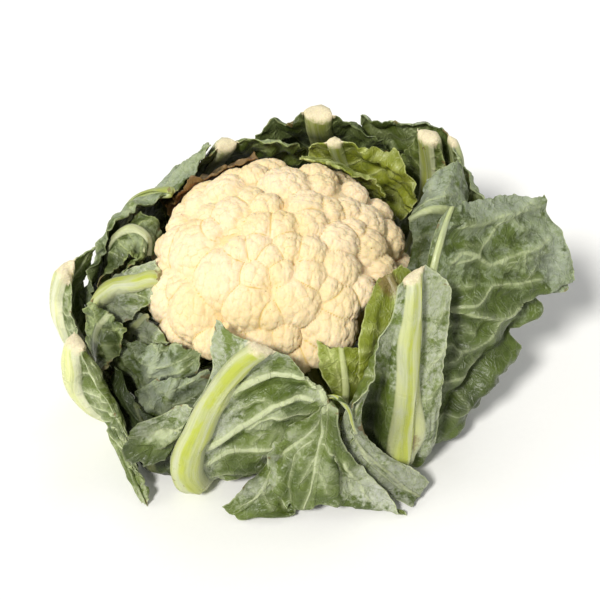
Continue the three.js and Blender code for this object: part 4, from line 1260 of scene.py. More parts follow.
@dataclass(frozen=True)
class Fold:
    """A fold of the blade: its height outwards, its reach on its broad side and its lee, and its path.

    A spot tells which side is the broad one. Once laid, the reach is on the path's left and its right.
    """

    height: float
    reach: tuple[float, float]
    broad: Spot
    path: tuple[Spot, ...]

    def laid(self, chart: Chart) -> "Fold":
        """Returns the fold with its path along and across the leaf.

        Args:
            chart: The sheet as the camera sees it.

        Returns:
            The laid fold.
        """
        path, broad = chart.path(self.path), chart.place(self.broad)
        nearest, turn = math.inf, 1.0
        for (t0, s0), (t1, s1) in zip(path[:-1], path[1:]):
            dt, ds = t1 - t0, s1 - s0
            to_t, to_s = broad[0] - t0, broad[1] - s0
            q = min(1, max(0, (to_t * dt + to_s * ds) / max(dt * dt + ds * ds, 1e-6)))
            away = math.hypot(to_t - q * dt, to_s - q * ds)
            if away < nearest:
                nearest, turn = away, dt * to_s - ds * to_t
        return replace(self, path=path, reach=self.reach if turn > 0 else self.reach[::-1])


@dataclass(frozen=True)
class Notch:
    """A notch in a margin: its side (-1 left, 1 right, 0 the far end), place, half width and depth."""

    side: int
    place: Spot
    half: float
    depth: float

    def laid(self, chart: Chart) -> "Notch":
        """Returns the notch with its place along the leaf, or across it in the far end.

        Args:
            chart: The sheet as the camera sees it.

        Returns:
            The laid notch.
        """
        away, fine = chart.away(self.place), chart.fine
        if self.side == 0:
            return replace(self, place=(0, round(float(fine["across"][-1, np.argmin(away[-1])]))))
        margin = 0 if self.side < 0 else -1
        return replace(self, place=(round(float(fine["along"][np.argmin(away[:, margin]), 0])), 0))


class Mark(Enum):
    """What a patch changes: the leaf's wax, how bruised it is, or how much painted shade lies on it."""

    WAX = "wax"
    BRUISE = "bruise"
    SHADE = "shade"


@dataclass(frozen=True)
class Patch:
    """A patch of a leaf: its place, its size along and across the leaf, and how much it changes."""

    mark: Mark
    place: Spot
    size: tuple[float, float]
    much: float

    def laid(self, chart: Chart) -> "Patch":
        """Returns the patch with its place along and across the leaf."""
        return replace(self, place=chart.whole(self.place))


@dataclass(frozen=True)
class Markings:
    """What marks a sheet out: its strongest veins, its folds, patches and notches.

    They are given as spots of the camera's view, and laid they are distances along and across the leaf.
    No spot is looked up on the hidden length of the sheet's base.
    """

    veins: tuple[Vein, ...] = ()
    folds: tuple[Fold, ...] = ()
    patches: tuple[Patch, ...] = ()
    notches: tuple[Notch, ...] = ()
    hidden: float = 0

    def laid(self, fine: dict[str, np.ndarray]) -> "Markings":
        """Returns the markings laid on a sheet's fine net."""
        chart = Chart(fine, self.hidden)
        kinds = (self.veins, self.folds, self.patches, self.notches)
        return Markings(*(tuple(mark.laid(chart) for mark in kind) for kind in kinds))


# The markings, by leaf and number of its sheet; their shade patches are painted shade in hollows and under
# folds and edges.
MARKINGS: dict[tuple[str, int], Markings] = {
    ("leaf_front_left", 0): Markings(
        veins=(
            Vein(2.0, ((224, 398), (240, 386), (260, 377), (283, 373), (303, 375), (316, 384),
                (323, 392), (326, 402))),
            Vein(1.8, ((205, 447), (220, 437), (233, 430), (260, 413), (283, 400), (303, 395),
                (313, 398))),
            Vein(1.0, ((250, 427), (263, 418), (280, 416), (297, 415), (313, 416))),
            Vein(1.4, ((205, 463), (227, 453), (250, 448), (273, 447), (288, 445))),
            Vein(0.5, ((205, 475), (227, 473), (247, 472), (264, 468))),
            Vein(0.5, ((229, 410), (246, 408), (256, 402), (267, 401), (275, 405))),
            Vein(0.35, ((252, 449), (252, 444), (262, 437))),
            Vein(0.35, ((259, 426), (275, 430), (286, 433))),
            Vein(0.4, ((276, 418), (290, 420), (303, 425), (310, 430))),
            Vein(0.35, ((268, 446), (272, 438), (276, 432))),
            Vein(0.35, ((279, 445), (283, 437), (288, 434))),
            Vein(0.8, ((243, 344), (240, 352), (231, 366), (224, 385))),
        ),
        folds=(
            Fold(2.0, (3.5, 4.5), (260, 370), ((225, 397), (240, 386), (260, 377), (283, 373),
                (303, 375), (316, 384))),
            Fold(-2.4, (5, 5), (260, 395), ((240, 402), (258, 393), (278, 388), (298, 388))),
            Fold(1.5, (3, 3.5), (240, 420), ((210, 445), (233, 430), (260, 413), (283, 400), (303, 395))),
            Fold(-1.5, (4, 4), (260, 435), ((225, 447), (250, 437), (275, 430), (298, 420))),
            Fold(-1.5, (6, 6), (310, 440), ((322, 412), (305, 432), (288, 446), (276, 460))),
        ),
        patches=(
            Patch(Mark.WAX, (264, 391), (7, 12), -0.4), Patch(Mark.WAX, (250, 430), (22, 20), 0.22),
            Patch(Mark.WAX, (303, 428), (10, 10), -0.45), Patch(Mark.WAX, (288, 430), (16, 12), -0.5),
            Patch(Mark.SHADE, (290, 430), (14, 10), 0.45), Patch(Mark.WAX, (236, 466), (34, 9), -0.6),
            Patch(Mark.SHADE, (236, 468), (34, 8), 0.25), Patch(Mark.WAX, (278, 386), (18, 12), -0.45),
            Patch(Mark.WAX, (245, 474), (5, 14), -0.25), Patch(Mark.WAX, (300, 385), (8, 8), -0.2),
        ),
        hidden=78,
    ),
    ("leaf_front_left", 1): Markings(
        veins=(
            Vein(0.9, ((184, 426), (172, 432), (158, 434))),
            Vein(0.5, ((180, 431), (170, 441), (157.5, 447))),
            Vein(0.4, ((172, 432), (168, 428), (160, 428))),
        ),
        patches=(
            Patch(Mark.SHADE, (150, 474), (34, 11), 0.95), Patch(Mark.WAX, (150, 468), (34, 14), -0.6),
            Patch(Mark.SHADE, (132, 440), (8, 20), 0.7),
        ),
        notches=(
            Notch(-1, (150, 478), 9, 5),
        ),
    ),
    ("leaf_front_left", 2): Markings(
        veins=(
            Vein(2.0, ((327, 407), (320, 418), (312, 431), (300, 442), (286, 451), (280, 457))),
            Vein(0.9, ((322, 420), (323, 433), (321, 444), (317, 460), (315, 477), (310, 493),
                (304, 507))),
            Vein(0.6, ((323, 444), (331, 454), (339, 468), (339, 489))),
            Vein(0.7, ((345, 458), (349, 468), (357, 479), (364, 491), (371, 500))),
            Vein(0.5, ((313, 440), (300, 452), (293, 468), (291, 485), (290, 500))),
            Vein(0.45, ((318, 455), (308, 468), (303, 480))),
            Vein(0.45, ((316, 470), (323, 480), (326, 492))),
            Vein(0.4, ((352, 472), (362, 476), (372, 482))),
            Vein(0.4, ((350, 470), (350, 482), (352, 494))),
        ),
        folds=(
            Fold(3.0, (4, 2), (310, 425), ((326, 408), (319, 418), (311, 432), (299, 442), (286, 450),
                (280, 457))),
            Fold(-4.0, (3.5, 3.5), (340, 450), ((340, 420), (345, 438), (347, 455), (352, 472))),
            Fold(2.2, (3.5, 3.5), (320, 450), ((323, 420), (322, 440), (317, 460), (314, 480))),
            Fold(-2.6, (4.5, 4.5), (300, 480), ((306, 452), (300, 470), (297, 490), (296, 505))),
            Fold(2.0, (3, 3), (285, 480), ((290, 455), (288, 470), (289, 488), (291, 500))),
            Fold(2.5, (4, 4), (370, 490), ((352, 448), (362, 468), (374, 486), (388, 500))),
            Fold(-2.2, (3.5, 3.5), (335, 490), ((330, 468), (333, 485), (336, 502))),
        ),
        patches=(
            Patch(Mark.WAX, (345, 455), (14, 5), -0.35), Patch(Mark.WAX, (330, 455), (60, 45), -0.12),
            Patch(Mark.SHADE, (325, 465), (60, 45), 0.16), Patch(Mark.WAX, (300, 490), (16, 9), -0.5),
            Patch(Mark.WAX, (350, 440), (9, 22), -0.5), Patch(Mark.SHADE, (343, 432), (7, 12), 0.5),
            Patch(Mark.WAX, (375, 490), (18, 12), 0.3),
        ),
        notches=(
            Notch(0, (325, 508), 11, 7), Notch(0, (352, 510), 5, 2.5), Notch(0, (392, 510), 7, 5),
            Notch(0, (297, 512), 3, 2.5),
        ),
    ),
    ("leaf_front_left", 3): Markings(
        veins=(
            Vein(0.6, ((285, 470), (270, 482), (255, 497), (240, 508))),
            Vein(0.5, ((275, 478), (280, 495), (285, 508))),
            Vein(0.4, ((262, 490), (268, 500), (272, 510))),
        ),
        folds=(
            Fold(3.0, (3, 1.5), (260, 485), ((281, 472), (270, 483), (258, 495), (243, 510))),
            Fold(-2.5, (3, 3), (280, 500), ((284, 482), (278, 495), (268, 508))),
        ),
        patches=(
            Patch(Mark.WAX, (285, 500), (14, 9), -0.75), Patch(Mark.WAX, (258, 492), (10, 14), 0.3),
            Patch(Mark.SHADE, (300, 508), (16, 7), 0.5), Patch(Mark.WAX, (260, 500), (30, 20), -0.3),
            Patch(Mark.SHADE, (262, 500), (26, 16), 0.15),
        ),
    ),
    ("leaf_right", 0): Markings(
        veins=(
            Vein(0.8, ((460, 227), (479, 224), (495, 219), (513, 213), (530, 204))),
            Vein(0.8, ((458, 262), (475, 254), (482, 249), (490, 236), (498, 225), (509, 218),
                (522, 212), (540, 206))),
            Vein(0.9, ((452, 262), (458, 255), (468, 254), (481, 261), (491, 264), (504, 259),
                (520, 252), (534, 247), (548, 241))),
            Vein(0.5, ((491, 264), (505, 262), (520, 262), (538, 254), (548, 250))),
            Vein(0.9, ((451, 311), (461, 307), (474, 302), (482, 293), (488, 286), (502, 285),
                (520, 282), (538, 277))),
            Vein(0.5, ((520, 282), (530, 272), (540, 262))),
            Vein(0.9, ((451, 313), (466, 311), (477, 316), (491, 318), (502, 313), (518, 300),
                (527, 296))),
            Vein(0.8, ((447, 347), (454, 346), (459, 352), (472, 350), (482, 341), (491, 331),
                (495, 322), (505, 314))),
            Vein(0.7, ((441, 380), (456, 378), (465, 374), (472, 363), (479, 357))),
            Vein(0.7, ((437, 420), (447, 418), (457, 415), (464, 404), (461, 396))),
            Vein(0.45, ((447, 328), (458, 324), (468, 327), (474, 334))),
            Vein(0.45, ((452, 288), (464, 287), (474, 282))),
            Vein(0.45, ((448, 362), (458, 360), (466, 352))),
            Vein(0.5, ((500, 260), (508, 266), (516, 268))),
            Vein(0.4, ((482, 249), (474, 244), (466, 246))),
            Vein(0.4, ((509, 218), (516, 226), (524, 230))),
            Vein(0.5, ((520, 252), (524, 262), (522, 270))),
        ),
        folds=(
            Fold(4.0, (9, 1.8), (500, 200), ((460, 225), (475, 223), (500, 217), (520, 211), (545, 203))),
            Fold(-3.5, (5, 5), (455, 240), ((450, 241), (462, 245), (474, 240))),
            Fold(1.8, (2.5, 5), (500, 275), ((455, 257), (470, 253), (481, 259), (491, 264), (504, 259),
                (520, 252), (534, 247), (548, 241))),
            Fold(5.5, (12, 1.8), (500, 290), ((568, 278), (555, 284), (541, 291), (520, 298),
                (505, 310), (493, 316), (468, 311))),
            Fold(-5.0, (6, 6), (455, 320), ((453, 292), (456, 318), (458, 345))),
            Fold(-4.5, (4, 4), (450, 400), ((447, 414), (465, 385), (480, 365), (500, 345), (514, 331))),
            Fold(3.0, (5, 5), (500, 340), ((458, 382), (480, 350), (500, 325), (514, 314))),
            Fold(3.0, (4, 4), (500, 370), ((460, 410), (480, 387), (500, 366), (514, 357))),
            Fold(-2.0, (4, 4), (530, 230), ((515, 240), (530, 235), (548, 232))),
        ),
        patches=(
            Patch(Mark.WAX, (480, 398), (24, 26), -0.5), Patch(Mark.WAX, (490, 340), (18, 20), -0.2),
            Patch(Mark.WAX, (505, 203), (10, 26), 0.25), Patch(Mark.WAX, (552, 262), (16, 12), 0.3),
            Patch(Mark.WAX, (462, 300), (12, 10), -0.35), Patch(Mark.WAX, (500, 330), (40, 30), -0.25),
            Patch(Mark.SHADE, (475, 392), (26, 24), 0.42), Patch(Mark.SHADE, (448, 350), (7, 40), 0.35),
            Patch(Mark.SHADE, (440, 410), (14, 20), 0.45),
        ),
        notches=(
            Notch(1, (546, 291), 3.5, 9), Notch(1, (525, 332), 4.5, 11), Notch(1, (509, 366), 3, 4),
        ),
    ),
    ("leaf_front_right", 0): Markings(
        veins=(
            Vein(0.7, ((360, 400), (364, 385), (372, 376), (380, 372))),
            Vein(0.8, ((357, 440), (357, 425), (357, 410), (360, 396))),
            Vein(0.4, ((360, 398), (372, 400), (384, 403))),
            Vein(0.4, ((358, 418), (368, 425), (376, 435))),
            Vein(0.35, ((430, 330), (440, 318), (444, 305))),
            Vein(0.35, ((426, 370), (438, 358), (446, 345))),
            Vein(0.35, ((424, 400), (434, 392), (440, 380))),
        ),
        patches=(
            Patch(Mark.WAX, (372, 418), (24, 14), -0.8), Patch(Mark.SHADE, (376, 415), (17, 15), 0.95),
            Patch(Mark.SHADE, (368, 395), (12, 12), 0.7), Patch(Mark.BRUISE, (416, 434), (9, 3), 0.75),
        ),
        hidden=78,
    ),
    ("leaf_front_right", 1): Markings(
        veins=(
            Vein(0.9, ((361, 449), (372, 465), (390, 480), (410, 492))),
            Vein(0.5, ((372, 462), (392, 462), (410, 472))),
            Vein(0.4, ((380, 472), (378, 485), (384, 494))),
        ),
        folds=(
            Fold(2.4, (2.5, 2.5), (375, 465), ((362, 447), (372, 462), (388, 476), (405, 490))),
            Fold(-1.8, (2.5, 2.5), (395, 470), ((376, 455), (392, 468), (412, 480))),
        ),
        patches=(
            Patch(Mark.WAX, (390, 478), (30, 20), 0.1), Patch(Mark.SHADE, (395, 492), (30, 8), 0.35),
            Patch(Mark.SHADE, (400, 480), (40, 30), 0.2),
        ),
    ),
    ("leaf_right_over", 0): Markings(
        veins=(
            Vein(0.7, ((412, 215), (425, 206), (440, 198), (455, 195))),
            Vein(0.5, ((415, 240), (428, 234), (440, 238), (452, 236))),
            Vein(0.5, ((413, 262), (424, 256), (436, 262))),
            Vein(0.5, ((425, 206), (430, 190), (428, 175))),
            Vein(0.4, ((440, 198), (447, 186), (450, 176))),
        ),
        folds=(
            Fold(2.5, (4, 4), (430, 210), ((415, 215), (428, 205), (444, 196))),
            Fold(-2.5, (4, 4), (430, 230), ((416, 228), (430, 222), (446, 216))),
        ),
        patches=(
            Patch(Mark.WAX, (430, 190), (16, 14), 0.25),
        ),
    ),
    ("leaf_small_front", 0): Markings(
        veins=(
            Vein(0.6, ((330, 345), (336, 365), (340, 390))),
            Vein(0.5, ((336, 362), (346, 360), (356, 364))),
            Vein(0.5, ((334, 352), (328, 360), (322, 366))),
            Vein(0.5, ((338, 378), (348, 378), (356, 384))),
        ),
    ),
    ("leaf_inner_front_right", 0): Markings(
        veins=(
            Vein(0.8, ((385, 330), (380, 350), (376, 368))),
            Vein(0.5, ((384, 335), (376, 330), (366, 330))),
            Vein(0.5, ((381, 348), (372, 350), (362, 352))),
        ),
        folds=(
            Fold(2.0, (3, 3), (385, 285), ((385, 285), (378, 300), (372, 320))),
        ),
        patches=(
            Patch(Mark.BRUISE, (388, 284), (10, 9), 0.85), Patch(Mark.WAX, (378, 335), (24, 14), -0.3),
        ),
    ),
    ("leaf_left_thick", 0): Markings(
        folds=(
            Fold(2.5, (2, 2), (110, 400), ((104, 404), (110, 395), (118, 393))),
            Fold(2.5, (2.5, 1.5), (120, 450), ((112, 415), (119.5, 435.5), (129, 456), (140, 481),
                (146, 498))),
            Fold(-2.0, (2, 2), (130, 440), ((118, 413), (124, 432), (130.5, 453.5), (136.25, 472.75))),
        ),
        patches=(
            Patch(Mark.WAX, (111.5, 395), (12, 10), -0.35), Patch(Mark.WAX, (126, 455), (30, 12), -0.3),
        ),
    ),
    ("leaf_left_crumpled", 0): Markings(
        folds=(
            Fold(3.5, (3, 3), (105, 330), ((98, 307), (104, 320), (107, 338), (111, 352))),
            Fold(-4.0, (3.5, 3.5), (115, 335), ((106, 311), (109, 325), (118, 342), (117, 356))),
            Fold(3.0, (4, 3), (125, 330), ((114, 318), (122, 330), (128, 345))),
        ),
        patches=(
            Patch(Mark.SHADE, (116, 362), (12, 10), 0.6),
        ),
    ),
    ("leaf_left_torn", 0): Markings(
        folds=(
            Fold(2.5, (5, 5), (150, 360), ((125, 362), (145, 357), (165, 352), (185, 346))),
            Fold(-2.0, (4, 4), (160, 375), ((130, 380), (150, 375), (175, 365))),
        ),
        patches=(
            Patch(Mark.WAX, (160, 370), (14, 14), 0.3), Patch(Mark.WAX, (195, 350), (10, 8), -0.4),
        ),
    ),
    ("leaf_left_band", 0): Markings(
        folds=(
            Fold(2.0, (3, 3), (150, 325), ((122, 305), (135, 312), (148, 326), (160, 342))),
        ),
    ),
    ("leaf_left_rib", 0): Markings(
        folds=(
            Fold(-2.0, (2.5, 2.5), (140, 300), ((112, 305), (128, 295), (150, 288))),
        ),
    ),
    ("leaf_left_curl", 0): Markings(
        folds=(
            Fold(3.0, (3.5, 3.5), (130, 240), ((112, 260), (122, 246), (140, 240), (150, 248))),
            Fold(-3.5, (3, 3), (130, 260), ((118, 280), (126, 262), (140, 255))),
        ),
        patches=(
            Patch(Mark.WAX, (135, 240), (12, 10), 0.3),
        ),
    ),
    ("leaf_low_left_inner", 0): Markings(
        folds=(
            Fold(2.0, (4, 4), (160, 390), ((148, 412), (158, 395), (172, 385))),
            Fold(-2.0, (3, 3), (180, 400), ((160, 410), (175, 400), (190, 392))),
        ),
        patches=(
            Patch(Mark.WAX, (165, 395), (14, 14), 0.25), Patch(Mark.SHADE, (138, 395), (10, 18), 0.9),
        ),
    ),
    ("leaf_low_left", 0): Markings(
        patches=(
            Patch(Mark.WAX, (150, 440), (60, 40), -0.6), Patch(Mark.SHADE, (150, 455), (60, 40), 0.4),
            Patch(Mark.SHADE, (128, 400), (16, 26), 0.9), Patch(Mark.SHADE, (160, 484), (30, 10), 0.4),
        ),
    ),
    ("leaf_left_back", 0): Markings(
        folds=(
            Fold(2.5, (4, 4), (130, 200), ((115, 240), (125, 215), (145, 185), (170, 165))),
            Fold(-2.5, (4, 4), (150, 200), ((128, 240), (140, 212), (160, 188))),
        ),
        patches=(
            Patch(Mark.WAX, (150, 180), (24, 20), 0.25),
        ),
    ),
    ("leaf_back", 0): Markings(
        folds=(
            Fold(3.0, (5, 5), (320, 140), ((275, 130), (290, 140), (300, 155))),
            Fold(3.0, (5, 5), (350, 130), ((340, 118), (350, 130), (362, 138))),
            Fold(-3.0, (4, 4), (330, 140), ((318, 130), (325, 142), (332, 152))),
        ),
    ),
    ("leaf_back_left", 0): Markings(
        folds=(
            Fold(3.0, (4, 4), (250, 145), ((238, 145), (258, 143), (280, 146))),
            Fold(-2.5, (4, 4), (260, 155), ((240, 160), (262, 156), (285, 158))),
        ),
        patches=(
            Patch(Mark.WAX, (270, 145), (10, 20), 0.3),
        ),
    ),
    ("leaf_back_right_wrap", 0): Markings(
        folds=(
            Fold(3.0, (4, 2), (400, 130), ((345, 125), (370, 130), (400, 129), (430, 128), (445, 134))),
            Fold(-3.0, (4, 4), (420, 145), ((380, 145), (405, 143), (435, 150))),
        ),
        patches=(
            Patch(Mark.WAX, (400, 130), (8, 40), 0.3),
        ),
    ),
    ("leaf_inner_back_right", 0): Markings(
        folds=(
            Fold(2.5, (5, 5), (360, 170), ((345, 150), (360, 162), (380, 170))),
            Fold(-2.5, (4, 4), (380, 160), ((360, 145), (378, 158), (400, 165))),
        ),
    ),
}

# The leaves from the innermost out. A point is an azimuth in degrees, a radius and a height.
LEAVES: tuple[LeafPlan, ...] = (
    LeafPlan("leaf_crown_strip", Slot.PALE, 0.8, (
        SheetPlan((5, 4, 3), (
            row((55, 28, 47)), row((55, 74, 45)), row((55, 84, 64)),
            row((55, 76, 92), ((40, 78, 92),), ((68, 76, 94),)),
            row((56, 62, 112), ((34, 69, 107),), ((76, 60, 114),)),
            row((58, 48, 122), ((42, 55, 118),), ((78, 46, 124),)),
        )),
    )),
    LeafPlan("leaf_dried", Slot.DRY, 1.5, (
        SheetPlan((5, 4, 3), (
            row((128, 28, 46)), row((128, 74, 44)),
            row((128, 84, 60), ((118, 84, 62),), ((138, 84, 60),)),
            row((126, 80, 86), ((108, 78, 90),), ((146, 80, 84),)),
            row((124, 68, 104), ((102, 62, 110),), ((146, 70, 98),)),
            row((122, 58, 112), ((104, 55, 116),), ((142, 61, 107),)),
        )),
    )),
    LeafPlan("leaf_small_front", Slot.PALE, 0.8, (
        SheetPlan((7, 6, 3), (
            row((-68, 28, 44)), row((-68, 72, 38)),
            row((-68, 87, 50), ((-72, 87, 50),), ((-62, 88, 52),)),
            row((-67, 88, 66), ((-72, 87, 64),), ((-59, 89, 72),)),
            row((-67, 84, 80), ((-76, 80, 80),), ((-59, 86, 82),)),
            row((-67, 80, 91), ((-75, 74, 92),), ((-60, 84, 88),)),
        )),
    )),
    LeafPlan("leaf_inner_front_right", Slot.PALE, 0.6, (
        SheetPlan((9, 8, 4), (
            row((-45, 28, 42)), row((-46, 74, 34), ((-50, 75, 34),), ((-41, 75, 34),)),
            row((-46, 90, 50), ((-64, 86, 46),), ((-34, 90, 50),)),
            row((-46, 89, 72), ((-64, 80, 66),), ((-30, 88, 74),)),
            row((-43, 85, 88), ((-62, 78, 84),), ((-28, 84, 92),)),
            row((-38, 78, 101), ((-52, 67, 96),), ((-26, 80, 104),)),
            row((-34, 68, 109), ((-40, 60, 103),), ((-26, 72, 110),)),
        )),
    )),
    LeafPlan("leaf_inner_back_right", Slot.GREEN, 0.8, (
        SheetPlan((8, 10, 9), (
            row((64, 28, 44)), row((64, 74, 38)), row((64, 90, 58), ((48, 91, 56),), ((74, 90, 60),)),
            row((64, 86, 88), ((32, 90, 84),), ((78, 86, 90),)),
            row((65, 77, 108), ((28, 87, 106),), ((79, 75, 110),)),
            row((65, 70, 121), ((40, 86, 122),), ((72, 70, 118),)),
        )),
    )),
    LeafPlan("leaf_left_band", Slot.BLOOM, 0.5, (
        SheetPlan((7, 8, 4), (
            row((-156, 28, 44)), row((-157, 70, 36), ((-165, 71, 36),), ((-149, 70, 36),)),
            row((-158, 91, 42), ((-170, 91, 42),), ((-141, 88, 40),)),
            row((-158, 92, 58), ((-167, 96, 60),), ((-146, 88, 56),)),
            row((-156, 87, 68), ((-167, 96, 72),), ((-141, 82, 65),)),
            row((-154, 81, 77), ((-165, 92, 79),), ((-138, 78, 73),)),
        )),
    )),
    LeafPlan("leaf_left_rib", Slot.PALE, 0.8, (
        SheetPlan((8, 11, 10), (
            row((-172, 28, 42)), row((-172, 74, 34)),
            row((-171, 98, 46), ((-177, 98, 46),), ((-164, 98, 46),)),
            row((-169, 105, 62), ((-178, 103, 62),), ((-160, 103, 60),)),
            row((-168, 97, 74), ((-177, 94, 77),), ((-156, 94, 72),)),
            row((-166, 84, 83), ((-174, 82, 88),), ((-155, 81, 79),)),
            row((-161, 68, 93), ((-167, 66, 97),), ((-156, 67, 86),)),
        )),
    )),
    LeafPlan("leaf_left_curl", Slot.GREEN, 1.6, (
        SheetPlan((8, 9, 5), (
            row((172, 28, 30)), row((172, 74, 22)),
            row((172, 97, 40), ((163, 97, 40),), ((181, 97, 40),)),
            row((171, 101, 66), ((158, 99, 68),), ((184, 98, 64),)),
            row((170, 96, 87), ((160, 92, 90),), ((183, 90, 84),)),
            row((171, 84, 97), ((163, 80, 99),), ((183, 80, 92),)),
            row((175, 73, 93), ((165, 70, 97),), ((186, 72, 87),)),
            row((182, 71, 84), ((172, 68, 88),), ((189, 73, 82),)),
        )),
    )),
    LeafPlan("leaf_left_torn", Slot.GREEN, 1.4, (
        SheetPlan((8, 8, 3), (
            row((-141, 28, 30)), row((-141, 72, 22), ((-147, 73, 22),), ((-135, 72, 22),)),
            row((-141, 94, 32), ((-161, 100, 27),), ((-129, 90, 32),)),
            row((-141, 95, 48), ((-158, 103, 44),), ((-126, 85, 50),)),
            row((-140, 88, 62), ((-155, 100, 60),), ((-123, 79, 63),)),
            row((-139, 80, 74), ((-152, 96, 67),), ((-123, 72, 79),)),
        )),
    )),
    LeafPlan("leaf_back_left", Slot.GREEN, 1.2, (
        SheetPlan((9, 14, 12), (
            row((118, 28, 30)), row((118, 74, 22)),
            row((118, 98, 34), ((106, 98, 36),), ((130, 98, 36),)),
            row((118, 99, 62), ((94, 98, 62),), ((138, 98, 62),)),
            row((117, 92, 88), ((84, 88, 90),), ((140, 92, 88),)),
            row((117, 84, 102), ((80, 76, 108),), ((134, 82, 102),)),
            row((116, 77, 110), ((95, 64, 119),), ((124, 76, 110),)), row((116, 73, 117)),
        )),
    )),
    LeafPlan("leaf_low_left_inner", Slot.BLOOM, 1.2, (
        SheetPlan((7, 8, 4), (
            row((-126, 28, 42)), row((-126, 74, 33)),
            row((-128, 96, 34), ((-136, 100, 33),), ((-119, 93, 36),)),
            row((-129, 97, 46), ((-140, 105, 42),), ((-117, 88, 48),)),
            row((-129, 90, 57), ((-139, 100, 53),), ((-117, 82, 60),)),
            row((-128, 84, 64), ((-135, 91, 60),), ((-118, 77, 69),)),
        )),
    )),
    LeafPlan("leaf_right_over", Slot.BLOOM, 0.8, (
        SheetPlan((9, 11, 5), (
            row((3, 28, 42)), row((3, 74, 34)), row((3, 96, 48), ((-8, 95, 48),), ((14, 97, 50),)),
            row((3, 104, 76), ((-16, 97, 70),), ((21, 110, 82),)),
            row((4, 102, 100), ((-20, 93, 87),), ((23, 113, 110),)),
            row((4, 93, 115), ((-20, 86, 94),), ((22, 108, 126),)),
            row((4, 80, 117), ((-20, 78, 94),), ((19, 95, 128),)),
            row((4, 70, 111), ((-18, 69, 91),), ((16, 82, 124),)),
        )),
    )),
    LeafPlan("leaf_back", Slot.DARK, 1.4, (
        SheetPlan((11, 17, 17), (
            row((77, 28, 14)), row((77, 74, 9)), row((76, 100, 16), ((86, 100, 16),), ((66, 100, 16),)),
            row((76, 111, 44), ((58, 111, 44),), ((96, 109, 44),)),
            row((76, 109, 76), ((52, 110, 78),), ((102, 106, 76),)),
            row((76, 102, 96), ((52, 104, 102),), ((102, 95, 100),)),
            row((76, 93, 110), ((58, 88, 118),), ((97, 80, 116),)), row((76, 88, 119)),
            row((76, 86, 127)),
        )),
    )),
    LeafPlan("leaf_back_right_stub", Slot.GREEN, 1, (
        SheetPlan((9, 13, 14), (
            row((40, 28, 30)), row((40, 74, 22)), row((40, 100, 32), ((30, 100, 34),), ((50, 100, 34),)),
            row((39, 109, 60), ((24, 108, 60),), ((54, 108, 60),)),
            row((38, 111, 88), ((26, 110, 88),), ((52, 104, 88),)),
            row((38, 110, 104), ((29, 108, 102),), ((48, 102, 104),)), row((38, 108, 116)),
            row((38, 106, 124)),
        )),
    )),
    LeafPlan("leaf_back_right_wrap", Slot.BLOOM, 1, (
        SheetPlan((10, 14, 6), (
            row((27, 28, 14)), row((28, 76, 9)), row((30, 106, 16), ((20, 106, 16),), ((40, 106, 16),)),
            row((32, 115, 44), ((8, 112, 44),), ((54, 115, 44),)),
            row((33, 118, 76), ((6, 113, 74),), ((62, 111, 78),)),
            row((34, 119, 101), ((13, 111, 96),), ((64, 104, 102),)),
            row((35, 116, 117), ((20, 112, 110),), ((62, 90, 121),)),
        )),
    )),
    LeafPlan("leaf_right_low", Slot.DARK, 1.2, (
        SheetPlan((9, 12, 6), (
            row((-14, 28, 14)), row((-14, 76, 8)), row((-15, 98, 12), ((-38, 98, 9),), ((0, 98, 14),)),
            row((-15, 106, 32), ((-41, 104, 20),), ((8, 106, 32),)),
            row((-14, 107, 56), ((-36, 100, 50),), ((10, 107, 58),)),
            row((-12, 103, 78), ((-26, 98, 78),), ((6, 104, 82),)),
        )),
    )),
    LeafPlan("leaf_left_back", Slot.BLOOM, 1, (
        SheetPlan((10, 14, 5), (
            row((150, 28, 14)), row((150, 76, 9)),
            row((149, 104, 16), ((139, 104, 16),), ((164, 105, 16),)),
            row((149, 112, 42), ((124, 108, 42),), ((181, 109, 40),)),
            row((149, 108, 68), ((120, 102, 72),), ((185, 106, 60),)),
            row((149, 96, 89), ((120, 86, 100),), ((183, 99, 74),)),
            row((149, 82, 99), ((121, 75, 110),), ((173, 88, 86),)),
            row((150, 70, 104), ((123, 66, 113),), ((171, 78, 93),)),
        )),
    )),
    LeafPlan("leaf_low_left", Slot.DARK, 1.4, (
        SheetPlan((7, 9, 5), (
            row((-129, 29, 14)), row((-132, 76, 8)),
            row((-129, 111, 4), ((-138, 114, 7),), ((-121, 104, 4),)),
            row((-130, 112, 12), ((-143, 115, 16),), ((-120, 101, 10),)),
            row((-132, 107, 28), ((-148, 112, 32),), ((-119, 96, 22),)),
            row((-134, 104, 40), ((-151, 108, 46),), ((-120, 93, 34),)),
            row((-136, 101, 49), ((-150, 103, 57),), ((-122, 92, 42),)),
        )),
    )),
    LeafPlan("leaf_left_crumpled", Slot.GREEN, 2.6, (
        SheetPlan((7, 9, 4), (
            row((-163, 28, 30)), row((-162, 76, 20)),
            row((-160, 104, 34), ((-165, 106, 34),), ((-153, 104, 36),)),
            row((-158, 110, 54), ((-166, 112, 54),), ((-149, 104, 54),)),
            row((-157, 108, 72), ((-165, 111, 74),), ((-148, 98, 66),)),
            row((-157, 99, 83), ((-163, 105, 86),), ((-150, 92, 77),)),
        )),
    )),
    LeafPlan("leaf_left_outer", Slot.GREEN, 1, (
        SheetPlan((8, 13, 12), (
            row((-176, 29, 14)), row((-175, 76, 8)),
            row((-174, 106, 13), ((-182, 106, 14),), ((-166, 106, 14),)),
            row((-174, 118, 32), ((-184, 112, 34),), ((-164, 113, 30),)),
            row((-174, 123, 50), ((-183, 112, 54),), ((-165, 117, 46),)),
            row((-174, 124, 64), ((-181, 115, 68), (-184, 101, 72)), ((-167, 118, 58),)),
            row((-175, 122, 76), ((-180, 114, 80), (-183, 99, 84)), ((-169, 119, 68),)),
            row((-176, 119, 86), ((-180, 111, 91), (-182, 98, 91)), ((-172, 117, 79),)),
        )),
    )),
